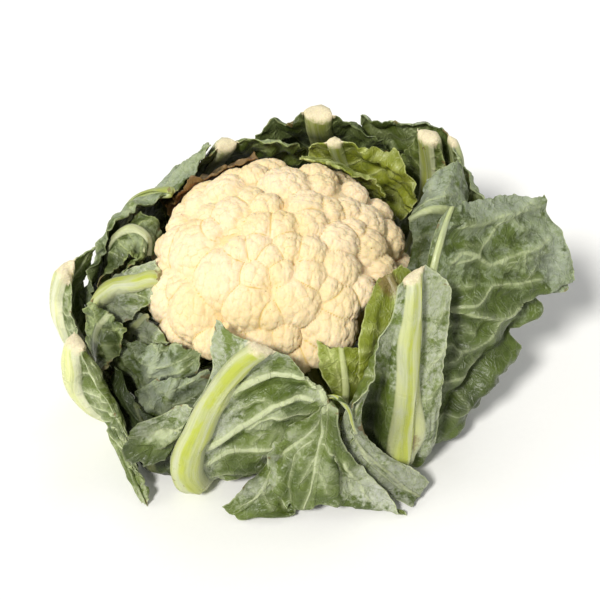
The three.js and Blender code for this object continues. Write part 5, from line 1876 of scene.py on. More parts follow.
    LeafPlan("leaf_left_thick", Slot.PALE, 1.4, (
        SheetPlan((8, 14, 13), (
            row((-152, 29, 14)), row((-153, 74, 8)),
            row((-154, 106, 11), ((-160, 108, 12),), ((-141, 116, 21), (-131, 122, 10), (-125, 127, 2))),
            row((-155, 117, 24), ((-162, 117, 26),), ((-141, 116, 26), (-131, 122, 12), (-125, 127, 4))),
            row((-155, 123, 40), ((-161, 121, 42),), ((-142, 115, 35), (-133, 118, 19), (-126, 124, 7))),
            row((-154, 125, 54), ((-159, 123, 56),), ((-145, 113, 46), (-138, 114, 31), (-131, 115, 17))),
            row((-154, 124, 64), ((-158, 122, 65),), ((-148, 115, 58), (-144, 110, 50), (-141, 108, 41))),
            row((-154, 121, 74)),
        )),
    )),
    LeafPlan("leaf_right", Slot.BLOOM, 2.2, (
        SheetPlan((8, 8, 3), (
            row((-40, 28, 30)), row((-42, 74, 20)),
            row((-42, 98, 15), ((-45, 98, 15),), ((-34, 110, 9),)),
            row((-41, 103, 40), ((-43, 101, 42),), ((-31, 115, 32), (-26, 124, 28))),
            row((-37, 97, 68), ((-38, 94, 70),), ((-24, 119, 58), (-15, 137, 45))),
            row((-33, 92, 90), ((-35, 88, 88),), ((-15, 120, 80), (-6, 152, 67))),
            row((-26, 89, 112), ((-28, 85, 107),), ((-9, 120, 100), (-3, 162, 86))),
            row((-17, 89, 126), ((-19, 84, 122),), ((-1, 118, 116), (1, 155, 104))),
            row((-8, 92, 135), ((-10, 87, 131),), ((2, 108, 128), (6, 144, 121))),
        )),
    )),
    LeafPlan("leaf_front_right", Slot.PALE, 0.8, (
        SheetPlan((12, 18.5, 12.5), (
            row((-54, 28, 14)), row((-54, 72, 8)), row((-53, 99, 9), (), ((-49, 102, 8), (-46, 104, 8))),
            row((-53, 106, 20), ((-57, 105, 20), (-60, 95, 21), (-63, 94, 23), (-66, 101, 26)),
                ((-48, 107, 20), (-44, 109, 20))),
            row((-52, 105, 38), ((-56, 104, 38), (-59, 87, 39), (-62, 85, 41), (-66, 95, 44), (-69, 107, 46)),
                ((-47, 106, 38), (-42, 110, 42))),
            row((-50, 102, 58), ((-54, 101, 58), (-57, 86, 59), (-61, 83, 62), (-66, 94, 66), (-69, 106, 68)),
                ((-46, 102, 58), (-40, 111, 62))),
            row((-48, 98, 76), ((-52, 97, 76), (-54, 86, 77), (-57, 84, 79), (-61, 92, 83), (-62, 102, 84)),
                ((-44, 98, 76), (-37, 109, 82))),
            row((-44, 93, 94), ((-48, 91, 94), (-50, 86, 93), (-51, 86, 92), (-52, 86, 92), (-53, 86, 92)),
                ((-40, 93, 94), (-33, 105, 100))),
            row((-40, 88, 108), (), ((-36, 88, 108), (-29, 98, 116))), row((-36, 84, 118)),
        ), blade=4, lengthwise=11),
        SheetPlan((2, 2), (
            row((-64, 99, 73), ((-66, 98, 71),), ((-62, 98, 71),)),
            row((-68, 104, 64), ((-71, 101, 61),), ((-66, 103, 62),)),
            row((-69, 107, 51), ((-72, 104, 48),), ((-65, 105, 47),)),
            row((-67, 110, 41), ((-71, 107, 38),), ((-62, 108, 37),)),
            row((-63, 114, 30), ((-67, 110, 24),), ((-59, 113, 30),)),
            row((-59, 118, 19), ((-63, 114, 10),), ((-55, 118, 23),)),
            row((-56, 123, 9), ((-59, 121, 3),), ((-51, 123, 15),)),
            row((-54, 128, 5), ((-57, 130, 2),), ((-50, 127, 9),)),
        ), blade=2, lengthwise=7),
    )),
    LeafPlan("leaf_front_left", Slot.PALE, 0.7, (
        SheetPlan((11, 17, 12), (
            row((-106, 29, 15)), row((-112, 70, 9)),
            row((-116, 103, 12), (), ((-109, 100, 10), (-106, 100, 9))),
            row((-117, 109, 24), (), ((-103, 99, 20), (-91, 94, 22))),
            row((-116, 109, 38), (), ((-102, 98, 36), (-86, 95, 34))),
            row((-114, 105, 50), (), ((-98, 96, 50), (-80, 95, 52))),
            row((-112, 101, 62), (), ((-95, 94, 63), (-76, 98, 68))),
            row((-108, 94, 76), ((-113, 92, 76),), ((-93, 91, 76), (-77, 96, 80))),
            row((-103, 89, 90), ((-115, 84, 92),), ((-91, 88, 88), (-82, 90, 86))),
            row((-96, 86, 101), ((-115, 79, 107),), ((-90, 86, 97), (-87, 86, 95))),
        ), lengthwise=14),
        SheetPlan((2, 2), (
            row((-119, 107, 47), ((-123, 107, 27),), ((-116, 105, 65),)),
            row((-122, 107, 46), ((-127, 107, 26),), ((-119, 104, 64),)),
            row((-128, 106, 41), ((-131, 106, 29),), ((-126, 104, 53),)),
            row((-133, 105, 39), ((-134, 105, 34),), ((-134, 104, 43),)),
        ), blade=2, lengthwise=5),
        SheetPlan((2, 1.6), (
            row((-75, 98, 70), ((-77, 97, 67),), ((-74, 99, 70), (-73, 100, 69))),
            row((-76, 102, 58), ((-83, 93, 54),), ((-74, 101, 56), (-72, 101, 55))),
            row((-77, 106, 49), ((-90, 91, 45),), ((-73, 102, 45), (-70, 101, 42))),
            row((-79, 109, 39), ((-95, 92, 34),), ((-72, 103, 33), (-66, 104, 30))),
            row((-80, 112, 28), ((-94, 99, 25),), ((-71, 106, 21), (-62, 108, 18))),
            row((-81, 115, 17), ((-92, 106, 15),), ((-71, 112, 11), (-58, 114, 8))),
            row((-82, 118, 6), ((-87, 114, 4),), ((-71, 115, 4), (-61, 119, 2))),
        ), lengthwise=8),
        SheetPlan((2, 1.6), (
            row((-92, 98, 27), ((-94, 97, 27),), ((-89, 99, 24),)),
            row((-94, 105, 21), ((-98, 101, 17),), ((-88, 103, 15),)),
            row((-96, 110, 15), ((-101, 106, 13),), ((-87, 108, 7),)),
            row((-99, 114, 9), ((-103, 111, 9),), ((-86, 113, 3),)),
            row((-103, 119, 4), ((-106, 117, 8),), ((-89, 116, 2),)),
        ), blade=2, lengthwise=5),
        SheetPlan((2.6, 1.6), (
            row((-75, 95, 72)), row((-73, 98, 75)), row((-71, 101, 71)), row((-70, 104, 62)),
            row((-69, 105, 54)),
        ), blade=1, flange=0.25, lengthwise=6),
    )),
)


@dataclass
class Cover:
    """The map of how far out the head reaches in every direction, as leaves are laid over it."""

    cell: float = 2.5
    centre: float = 60
    gap: float = 0.5
    reach_in: float = 26
    under_head: float = 66
    under_fade: float = 14
    foot_inset: float = 8
    crown_from: float = 95
    sample: float = 3

    def __post_init__(self) -> None:
        """Starts with an empty map."""
        self.around, self.up = round(360 / self.cell), round(180 / self.cell)
        self.reach = np.zeros(self.around * self.up)

    def cells(self, points: np.ndarray) -> tuple[np.ndarray, np.ndarray, np.ndarray]:
        """Returns the column, line and distance of points on the map.

        Args:
            points: The points.

        Returns:
            Their columns, lines and distances from the map's centre.
        """
        lifted = points - (0, 0, self.centre)
        far = np.linalg.norm(lifted, axis=-1)
        column = np.floor((np.degrees(np.arctan2(lifted[..., 1], lifted[..., 0])) + 360) / self.cell)
        line = np.floor((np.degrees(np.arcsin(lifted[..., 2] / far)) + 90) / self.cell)
        return column.astype(int) % self.around, np.minimum(line.astype(int), self.up - 1), far

    def lay(self, node: bpy.types.Object) -> None:
        """Adds a node of the head to the map, by points spread over its triangles.

        Args:
            node: The node.
        """
        mesh = node.data
        mesh.calc_loop_triangles()
        triangles = np.empty(len(mesh.loop_triangles) * 3, np.int32)
        mesh.loop_triangles.foreach_get("vertices", triangles)
        corners = points_of(node)[triangles.reshape(-1, 3)]
        longest = np.linalg.norm(corners - np.roll(corners, 1, axis=1), axis=-1).max(axis=1)
        steps = np.ceil(longest / self.sample).astype(int)
        for count in np.unique(steps):
            p, q = np.meshgrid(np.arange(count + 1), np.arange(count + 1), indexing="ij")
            inside = p + q <= count
            p, q = p[inside] / count, q[inside] / count
            weights = np.stack([1 - p - q, p, q])
            self.lay_points(np.einsum("ws,twd->tsd", weights, corners[steps == count]).reshape(-1, 3))

    def lay_points(self, points: np.ndarray) -> None:
        """Adds points to the map, except those under the head."""
        foot = np.hypot(points[:, 0], points[:, 1]) < self.under_head - self.foot_inset
        column, line, far = self.cells(points[~(foot & (points[:, 2] < self.centre))])
        np.maximum.at(self.reach, line * self.around + column, far)

    def push(self, inner: np.ndarray, rounds: int) -> np.ndarray:
        """Returns how far each place of a net has to move out, evened out with its neighbours.

        Args:
            inner: The net of the leaf's inner face.
            rounds: How often it is evened out.

        Returns:
            The distances.
        """
        out = np.hypot(inner[..., 0], inner[..., 1])
        weight = smooth(out, self.under_head, self.under_head + self.under_fade)
        push = np.where(inner[..., 2] > self.crown_from, 1, weight) * self.need(inner)
        for _ in range(rounds):
            wide = np.pad(push, 1, constant_values=np.nan)
            near = np.stack([wide[:-2, 1:-1], wide[2:, 1:-1], wide[1:-1, :-2], wide[1:-1, 2:]])
            push = np.maximum(push, np.nanmean(near, axis=0))
        return push

    def beside(self, column: np.ndarray, line: np.ndarray) -> np.ndarray:
        """Returns the reach in cells of the map, round its seam and up to its ends."""
        return self.reach[np.clip(line, 0, self.up - 1) * self.around + column % self.around]

    def over(self, points: np.ndarray) -> np.ndarray:
        """Returns how far the head reaches beyond points, on average round each.

        Args:
            points: The points.

        Returns:
            The distances.
        """
        column, line, far = self.cells(points)
        near = (-2, -1, 0, 1, 2)
        return np.mean([np.maximum(self.beside(column + a, line + b) - far, 0) for a in near for b in near],
                       axis=0)

    def need(self, points: np.ndarray) -> np.ndarray:
        """Returns how far points have to move out to lie clear.

        Args:
            points: The points.

        Returns:
            The distances.
        """
        column, line, far = self.cells(points)
        reach = np.zeros_like(far)
        for a in (-1, 0, 1):
            for b in (-1, 0, 1):
                near = self.beside(column + a, line + b)
                reach = np.where((near < far + self.reach_in) & (near > reach), near, reach)
        return np.maximum(0, reach + self.gap - far)


@dataclass
class Net:
    """The middle surface of a sheet, as a net of points."""

    points: np.ndarray
    knots: np.ndarray
    spans: np.ndarray
    marks: np.ndarray
    half: np.ndarray
    room: np.ndarray


Ripple = tuple[float, float]


@dataclass(frozen=True)
class Relief:
    """The fine relief that every leaf has in common.

    A ripple is its length and its share of the height. A room is a width of blade beside the rib, and a
    pair of them tells where something begins and where it is full. An edge is a share of that width.
    """

    full_room: float = 18
    frill: tuple[Ripple, Ripple] = ((2.6, 0.8), (1.3, 0.5))
    frill_rise: float = 2.5
    curl: float = 4.6
    curl_rise: float = 1.6
    end: float = 16
    end_room: tuple[float, float] = (1, 6)
    end_curl: Ripple = (4.6, 0.9)
    end_frill: Ripple = (1.7, 0.6)
    quilt: float = 5
    quilt_edge: float = 0.25
    crumples: tuple[Ripple, Ripple] = ((22, 0.75), (8, 0.3))
    crumple_edge: float = 0.4
    fold_room: float = 5
    nibble: tuple[Ripple, Ripple] = ((2.3, 0.5), (0.9, 0.4))
    nibble_room: float = 12
    tear: tuple[Ripple, Ripple] = ((2.1, 0.9), (5.5, 1.1))
    margin: float = 2.5
    fillet: float = 0.16
    fillet_reach: float = 0.35
    fillet_room: tuple[float, float] = (1, 8)
    ridge: float = 0.05
    ridges: float = 9
    ridge_bend: float = 0.6
    ridge_length: float = 9
    worn: float = 0.42
    worn_reach: float = 1.7
    inner_vein: float = 0.12
    inner_vein_fade: tuple[float, float] = (-0.7, 0.3)


@dataclass
class Sheet:
    """One sheet of a leaf, from the plan's rows to a fine surface."""

    plan: SheetPlan
    seed: float
    ruffle: float
    trim: Trim
    markings: Markings = field(default_factory=Markings)
    blade_thickness: float = 1.3
    rib_out: float = 0.52
    rib_in: float = 0.12
    stub_in: float = 0.3
    stub_from: float = 0.7
    ground: float = 0.6
    broadest: float = 0.5
    rib_stations: tuple[float, ...] = (0.55, 1.0)
    side_samples: int = 33
    fine_thickness: float = 0.55
    margin_thickness: float = 0.24
    cap_layers: int = 7
    plain_wax: float = 0.5
    cut_wide: float = 1.15
    cut_beside: float = 4
    cut_far: float = 20.0
    cut_depth: float = 2.2
    cut_mark: float = -3.0
    rib_seen: tuple[float, float] = (0.5, 2.6)
    bare_room: tuple[float, float] = (1, 0.6)
    vein_edge: float = 0.08
    push_rounds: int = 10
    relief: Relief = Relief()

    def width_at(self, share: np.ndarray) -> np.ndarray:
        """Returns the rib's width at a share of its length."""
        width = self.plan.width
        tip = width[2] if len(width) > 2 else width[1]
        return np.interp(share, [0, self.broadest, 1], [width[0], width[1], tip])

    def columns(self, widths: np.ndarray) -> tuple[np.ndarray, int]:
        """Returns the plan's columns of polar points from left to right, and which of them is the rib's.

        Args:
            widths: The rib's widths, by row.

        Returns:
            The columns, and the rib's number among them.
        """
        def side(which: int, sign: int) -> list[list[Polar]]:
            """Returns one side's columns, from the rib outwards; short rows end beside their last point.

            Args:
                which: The field of a row that holds the side's points.
                sign: -1 on the left, 1 on the right.

            Returns:
                The columns.
            """
            count = max(1, *(len(r[which]) for r in self.plan.rows))
            found = []
            for k in range(count):
                column = []
                for (rib, *sides), width in zip(self.plan.rows, widths):
                    given = sides[which - 1]
                    if len(given) > k:
                        column.append(given[k])
                    elif given:
                        column.append((given[-1][0] + sign * 0.6 * k, *given[-1][1:]))
                    else:
                        offset = width / 2 + self.plan.flange + 0.8 * k
                        column.append((rib[0] + sign * math.degrees(offset / rib[1]), *rib[1:]))
                found.append(column)
            return found

        left, right = side(1, -1)[::-1], side(2, 1)
        return np.array(left + [[r[0] for r in self.plan.rows]] + right, float), len(left)

    def middle(self) -> Net:
        """Returns the plan's net."""
        plan, count = self.plan, self.side_samples
        rib_knots = knots_of(np.array([r[0] for r in plan.rows], float))
        length = rib_knots[-1]
        columns, rib = self.columns(self.width_at(rib_knots / length))
        steps = plan.lengthwise or int(math.floor(min(max(length / 14, 5), 14) + 0.5))
        along = np.arange(steps + 1) / steps * length
        half = self.width_at(along / length) / 2
        across = np.stack([curve_through(column, rib_knots, along) for column in columns], axis=1)
        shares = [(k + 1) / plan.blade for k in range(plan.blade)]
        lines, spans, rooms = [], [], []
        for i, t in enumerate(along):
            parts, far_parts, room = [], [], []
            for sign in (-1, 1):
                run = across[i, :rib + 1][::-1] if sign < 0 else across[i, rib:]
                knots = knots_of(run)
                fine = to_points(curve_through(run, knots, np.linspace(0, knots[-1], count)))
                far = np.concatenate([[0], np.cumsum(np.linalg.norm(np.diff(fine, axis=0), axis=1))])
                reach = max(far[-1] * (1 + 0.05 * wave(self.seed + sign, t / 7)), half[i] + plan.flange)
                at = np.array([0] + [s * half[i] for s in self.rib_stations]
                              + [half[i] + (reach - half[i]) * share for share in shares])
                k = np.clip(np.searchsorted(far, at, side="left"), 1, count - 1)
                share = ((at - far[k - 1]) / np.maximum(far[k] - far[k - 1], 1e-6))[:, None]
                spots = fine[k - 1] * (1 - share) + fine[k] * share
                parts.append(spots[::-1] if sign < 0 else spots[1:])
                far_parts.append(-at[::-1] if sign < 0 else at[1:])
                room.append(reach - half[i])
            lines.append(np.concatenate(parts))
            spans.append(np.concatenate(far_parts))
            rooms.append(room)
        marks = np.array([0, *self.rib_stations, *(1 + s for s in shares)])
        net = Net(np.array(lines), along, np.array(spans), np.concatenate([-marks[:0:-1], marks]),
                  half, np.array(rooms))
        edge = np.maximum(np.abs(net.marks) - 1, 0)
        sign = np.sign(net.marks)
        room = np.where(sign < 0, net.room[:, :1], net.room[:, 1:])
        swing = self.ruffle * edge ** 2 * np.minimum(1, room / 14)
        turn = wave(self.seed + 3 * sign[None, :], along[:, None] / 6)
        net.points = net.points + normals_of(net.points) * (swing * turn)[..., None]
        return net

    def inner_rib(self, share: np.ndarray) -> np.ndarray:
        """Returns how far the rib stands inwards, in shares of its width, at a share of its length."""
        return self.rib_in + (self.stub_in - self.rib_in) * smooth(share, self.stub_from, 1)

    def depths(self, net: Net) -> tuple[np.ndarray, np.ndarray]:
        """Returns the distances from a net to the leaf's outer and inner faces in the plain solid.

        Args:
            net: The net.

        Returns:
            The two distances, by row and column.
        """
        marks = np.minimum(np.abs(net.marks), 1)
        round_out = np.sqrt(1 - marks ** 2)[None, :] * 2 * net.half[:, None]
        share = self.inner_rib(net.knots / net.knots[-1])
        plain = self.blade_thickness / 2
        return plain + round_out * self.rib_out, plain + round_out * share[:, None]

    def drape(self, net: Net, cover: Cover) -> None:
        """Moves a net out until it lies clear of what is under it, then keeps it off the ground.

        Args:
            net: The net, whose points move.
            cover: The map of what lies on the head so far.
        """
        normals = normals_of(net.points)
        outside, inside = self.depths(net)
        inner = net.points - normals * inside[..., None]
        push = cover.push(inner, 2)
        net.points = net.points + unit(net.points - (0, 0, cover.centre)) * push[..., None]
        on_rib = (np.abs(net.marks) < 1)[None, :]
        hanging = np.where(on_rib & (normals[..., 2] < 0), outside, 0)
        floor = self.ground + self.blade_thickness / 2 + hanging
        rise = net.points[..., 2] - floor
        net.points[..., 2] = np.where(rise < 3, floor + 3 * np.exp((rise - 3) / 3), net.points[..., 2])

    def refine(self, net: Net, notches: tuple[Notch, ...] = ()) -> dict[str, np.ndarray]:
        """Makes a net fine.

        Args:
            net: The plan's net, draped.
            notches: The notches to cut in its margin.

        Returns:
            The fine points and, for each, its distance along and across, and its mark.
        """
        trim, length = self.trim, net.knots[-1]
        rows = max(8, int(round(length / trim.pitch)))
        t = np.linspace(0, length, rows + 1)
        half = np.interp(t, net.knots, net.half)
        rib_steps = max(3, int(math.ceil(net.half.max() / min(trim.pitch, 1.3))))
        rib_marks = np.sin(np.linspace(0, math.pi / 2, rib_steps + 1))
        sides = []
        for column in (0, 1):
            steps = max(3, int(math.ceil(net.room[:, column].max() / trim.pitch)))
            sides.append(1 + np.linspace(0, 1, steps + 1)[1:])
        marks = np.concatenate([-sides[0][::-1], -rib_marks[:0:-1], rib_marks, sides[1]])
        room = curve_through(net.room, net.knots, t)
        sign = np.sign(marks)[None, :]
        side_room = np.maximum(np.where(sign < 0, room[:, :1], room[:, 1:]), 0.5)
        edge = np.maximum(np.abs(marks) - 1, 0)[None, :]
        (broad, much), (narrow, little) = self.relief.nibble
        nibble = trim.ragged * (much * wave(self.seed + 7 + sign, t[:, None] / broad)
                                + little * wave(self.seed + 11 + sign, t[:, None] / narrow) - 0.3)
        nibble = nibble * np.minimum(1, side_room / self.relief.nibble_room)
        for notch in notches:
            depth = notch.depth * np.exp(-((t - notch.place[0]) / notch.half) ** 2)
            nibble = nibble - np.where((sign == notch.side) & (notch.side != 0), depth[:, None], 0)
        reach = 1 + nibble / np.maximum(side_room, 6)
        wanted = np.where(edge > 0, np.sign(marks) * (1 + edge * np.minimum(reach, 1.04)), marks[None, :])
        base = curve_through(net.points, net.knots, t)
        spans = curve_through(net.spans[..., None], net.knots, t)[..., 0]
        slopes = slopes_of(base, spans)
        j = np.clip(np.searchsorted(net.marks, wanted.ravel(), side="right") - 1, 0, len(net.marks) - 2)
        j = j.reshape(wanted.shape)
        i = np.arange(len(t))[:, None]
        share = (wanted - net.marks[j]) / (net.marks[j + 1] - net.marks[j])
        gap = spans[i, j + 1] - spans[i, j]
        points = hermite((base[i, j], base[i, j + 1]), (slopes[i, j], slopes[i, j + 1]),
                         gap[..., None], share[..., None])
        every = np.ones_like(wanted)
        return self.torn({
            "points": points, "along": t[:, None] * every, "across": spans[i, j] + gap * share,
            "mark": wanted, "edge": edge * every, "half": half[:, None] * every,
            "room": side_room * every}, notches)

    def has_cut(self) -> bool:
        """Returns whether the rib ends in a broad cut face."""
        return len(self.plan.width) > 2 and self.plan.width[2] >= 6

    def torn(self, fine: dict[str, np.ndarray], notches: tuple[Notch, ...]) -> dict[str, np.ndarray]:
        """Returns a fine net whose blade is torn unevenly along its far end.

        Args:
            fine: The fine net.
            notches: The sheet's notches.

        Returns:
            The torn net.
        """
        rows = len(fine["along"]) - 1
        across, half = fine["across"][-1], fine["half"][-1]
        beyond = smooth(np.abs(across), half * 1.2, half * 1.2 + 4) if self.has_cut() else 1.0
        (narrow, little), (broad, much) = self.relief.tear
        depth = (1.0 + little * wave(self.seed + 13, across / narrow)
                 + much * wave(self.seed + 17, across / broad))
        depth = self.trim.ragged * beyond * np.maximum(depth, 0)
        for notch in notches:
            if notch.side == 0:
                depth = depth + notch.depth * np.exp(-((across - notch.place[1]) / notch.half) ** 2)
        share = np.arange(rows + 1)[:, None] / rows
        line = (share - depth / fine["along"][-1, 0] * smooth(share, 0.6, 1)) * rows
        low = np.clip(np.floor(line).astype(int), 0, rows - 1)
        rest = line - low
        column = np.arange(len(across))[None, :]
        out = {}
        for key, value in fine.items():
            part = rest[..., None] if value.ndim == 3 else rest
            out[key] = value[low, column] * (1 - part) + value[low + 1, column] * part
        return out

    @staticmethod
    def traced(path: tuple[tuple[float, float], ...], steps: int = 4) -> np.ndarray:
        """Returns a smooth run of points through a path.

        Args:
            path: The path's points.
            steps: How many points there are for each of them.

        Returns:
            The run.
        """
        spots = np.array(path, float)
        steps_between = np.maximum(0.3, np.linalg.norm(np.diff(spots, axis=0), axis=1))
        knots = np.concatenate([[0], np.cumsum(steps_between)])
        return curve_through(spots, knots, np.linspace(0, knots[-1], steps * (len(spots) - 1) + 1))

    def marked_veins(self, marked: tuple[Vein, ...]) -> np.ndarray:
        """Returns the pieces of named veins, in the form that veins gives.

        Args:
            marked: The veins.

        Returns:
            Their pieces.
        """
        pieces = []
        for vein in marked:
            run = self.traced(vein.path)
            widths = vein.half * np.linspace(1, 0.6, len(run))
            pieces += [(*run[k], *run[k + 1], widths[k], widths[k + 1]) for k in range(len(run) - 1)]
        return np.array(pieces)

    def veins(self, fine: dict[str, np.ndarray], rng: np.random.Generator) -> np.ndarray:
        """Draws side veins with forks on both sides of the rib.

        Args:
            fine: The fine net.
            rng: The source of the draws.

        Returns:
            The veins' pieces, each a start and end as distances along and across, and two half widths.
        """
        length = fine["along"].max()
        t_line = fine["along"][:, 0]
        pieces = []

        def trace(start: float, sign: int, lean: float, width: float, begin: float, stop: float) -> None:
            """Draws a vein over a share of one side's width, with forks if it starts at the rib.

            Args:
                start: Where along the leaf it starts.
                sign: -1 on the left, 1 on the right.
                lean: How far it leans to the leaf's end.
                width: Half its width at the rib.
                begin: The share of the width where it begins.
                stop: The share where it stops.
            """
            spots, steps = [], 14
            drift = rng.normal(0, 0.06)
            column = 0 if sign < 0 else -1
            for k in range(steps + 1):
                q = begin + (stop - begin) * k / steps
                here = min(start, length)
                room = np.interp(here, t_line, fine["room"][:, column])
                half = np.interp(here, t_line, fine["half"][:, column])
                t = start + room * (lean * (q - begin) + (0.35 + drift) * (q - begin) ** 2)
                t += 0.8 * math.sin(7 * q + start)
                spots.append((t, sign * (half * 0.8 + room * q)))
            for k in range(steps):
                wide = width * (1 - 0.75 * (begin + (stop - begin) * k / steps))
                thin = width * (1 - 0.75 * (begin + (stop - begin) * (k + 1) / steps))
                pieces.append((*spots[k], *spots[k + 1], wide, thin))
            if begin == 0 and np.interp(start, t_line, fine["room"][:, column]) > 12:
                for _ in range(2):
                    k = int(rng.integers(3, 10))
                    trace(spots[k][0], sign, lean + rng.choice([-0.55, 0.5]), width * 0.55,
                          k / steps, min(1, k / steps + rng.uniform(0.3, 0.6)))

        for sign in (-1, 1):
            start = self.trim.vein_pitch * (1.6 if sign < 0 else 2.1)
            while start < length * 0.97:
                trace(start, sign, rng.uniform(0.35, 0.7), rng.uniform(0.55, 0.85), 0, 1)
                start += self.trim.vein_pitch * rng.uniform(0.75, 1.25)
        return np.array(pieces) if pieces else np.zeros((0, 6))

    @staticmethod
    def raise_veins(veins: np.ndarray, along: np.ndarray, across: np.ndarray,
                    most: float = 6.0) -> tuple[np.ndarray, np.ndarray]:
        """Finds the relief of the veins.

        Args:
            veins: The veins' pieces.
            along: The places' distances along the leaf.
            across: The places' distances across it.
            most: The greatest gap that is told apart.

        Returns:
            How far each place lies outside the nearest vein, and the veins' height there.
        """
        gap, height = np.full(along.shape, most), np.zeros(along.shape)
        for t0, s0, t1, s1, wide, thin in veins:
            dt, ds = t1 - t0, s1 - s0
            q = np.clip(((along - t0) * dt + (across - s0) * ds) / max(dt * dt + ds * ds, 1e-6), 0, 1)
            half = wide + (thin - wide) * q
            away = np.hypot(along - t0 - q * dt, across - s0 - q * ds)
            gap = np.minimum(gap, away - half)
            height = np.maximum(height, (0.15 + 0.85 * half) * np.exp(-(away / (1.15 * half + 0.25)) ** 2))
        return gap, height

    def fold_height(self, folds: tuple[Fold, ...], along: np.ndarray, across: np.ndarray) -> np.ndarray:
        """Returns how far folds lift each place.

        Args:
            folds: The folds.
            along: The places' distances along the leaf.
            across: The places' distances across it.

        Returns:
            The height outwards.
        """
        out = np.zeros(along.shape)
        for fold in folds:
            run = self.traced(fold.path)
            away, side = np.full(along.shape, 99.0), np.zeros(along.shape)
            for (t0, s0), (t1, s1) in zip(run[:-1], run[1:]):
                dt, ds = t1 - t0, s1 - s0
                q = np.clip(((along - t0) * dt + (across - s0) * ds) / max(dt * dt + ds * ds, 1e-6), 0, 1)
                here = np.hypot(along - t0 - q * dt, across - s0 - q * ds)
                side = np.where(here < away, dt * (across - s0) - ds * (along - t0), side)
                away = np.minimum(away, here)
            out += fold.height * np.exp(-(away / np.where(side > 0, *fold.reach)) ** 2)
        return out

    @staticmethod
    def spread_of(patches: list[Patch], along: np.ndarray, across: np.ndarray,
                  start: float = 0) -> np.ndarray:
        """Returns a start value with patches added to it.

        Args:
            patches: The patches.
            along: The places' distances along the leaf.
            across: The places' distances across it.
            start: The start value.

        Returns:
            The value at each place.
        """
        out = np.full(along.shape, float(start))
        for patch in patches:
            (place_t, place_s), (long, wide) = patch.place, patch.size
            out += patch.much * np.exp(-np.hypot((along - place_t) / long, (across - place_s) / wide) ** 2)
        return out

    def lift(self, fine: dict[str, np.ndarray], gap: np.ndarray, folds: tuple[Fold, ...],
             length: float) -> np.ndarray:
        """Works out how far the blade's relief lifts each place outwards.

        Args:
            fine: The fine net.
            gap: How far each place lies outside the nearest vein.
            folds: The sheet's folds.
            length: The sheet's length.

        Returns:
            The height of the frill, curl, quilting, crumples and folds together.
        """
        along, across, edge, half = (fine[key] for key in ("along", "across", "edge", "half"))
        trim, form, side = self.trim, self.relief, np.sign(fine["mark"])
        roomy = np.minimum(1, fine["room"] / form.full_room)
        (broad, much), (narrow, little) = form.frill
        frill = trim.frill * edge ** form.frill_rise * roomy * (
            much * wave(self.seed + 5 + side, along / broad)
            + little * wave(self.seed + 9, along / narrow + edge))
        curl = wave(self.seed + 3 + side, along / form.curl + edge)
        frill = frill + trim.curl * edge ** form.curl_rise * roomy * curl
        (broad, much), (narrow, little) = form.end_curl, form.end_frill
        end_edge = smooth(np.abs(across) - half, *form.end_room)
        end = smooth(length - along, form.end, 0) * end_edge * (1 - edge)
        end_frill = (much * trim.curl * wave(self.seed + 21, across / broad)
                     + little * trim.frill * wave(self.seed + 23, across / narrow))
        frill = frill + end_frill * end ** form.curl_rise
        quilt = trim.quilt * smooth(gap, 0, form.quilt) * smooth(edge, 0, form.quilt_edge) * roomy
        number, ((broad, much), (narrow, little)) = int(self.seed * 10), form.crumples
        crumple = trim.crumple * (much * Roughness(number + 2, broad).at(fine["points"])
                                  + little * Roughness(number + 3, narrow, 20).at(fine["points"]))
        crumple = crumple * smooth(edge, 0, form.crumple_edge) * roomy
        off_rib = smooth(np.abs(across), 0.5 * half, half + form.fold_room)
        return frill - quilt + crumple + self.fold_height(folds, along, across) * off_rib

    def fine_depths(self, fine: dict[str, np.ndarray], gap: np.ndarray, veined: np.ndarray,
                    length: float) -> tuple[np.ndarray, np.ndarray]:
        """Works out the leaf's thickness.

        Args:
            fine: The fine net.
            gap: How far each place lies outside the nearest vein.
            veined: How high the veins stand.
            length: The sheet's length.

        Returns:
            The distances from the middle to the outer and inner faces.
        """
        form, half, mark = self.relief, fine["half"], np.minimum(np.abs(fine["mark"]), 1)
        to_end = length - fine["along"]
        margin = np.minimum(fine["room"] * (1 - fine["edge"]), to_end)
        swell = self.fine_thickness - self.margin_thickness
        thick = self.margin_thickness + swell * smooth(margin, 0, form.margin)
        dome = np.sqrt(np.maximum(1 - mark ** 2, 0))
        beyond = np.maximum(np.abs(fine["across"]) - half, 0)
        fillet = form.fillet * np.exp(-beyond / (form.fillet_reach * half))
        fillet = fillet * smooth(fine["room"], *form.fillet_room)
        bend = form.ridge_bend * wave(self.seed, fine["along"] / form.ridge_length)
        ridge = form.ridge * np.cos(mark * form.ridges + bend) * dome
        worn = 1 - form.worn * np.exp(-to_end / form.worn_reach) * (1.0 if self.has_cut() else 0.0)
        rib = 2 * half * self.rib_out * self.trim.rib
        outside = thick + rib * (np.hypot(dome, fillet) + ridge) * worn + veined
        inside = thick + 2 * half * self.inner_rib(fine["along"] / length) * dome * worn
        return outside, inside + form.inner_vein * smooth(-gap, *form.inner_vein_fade)

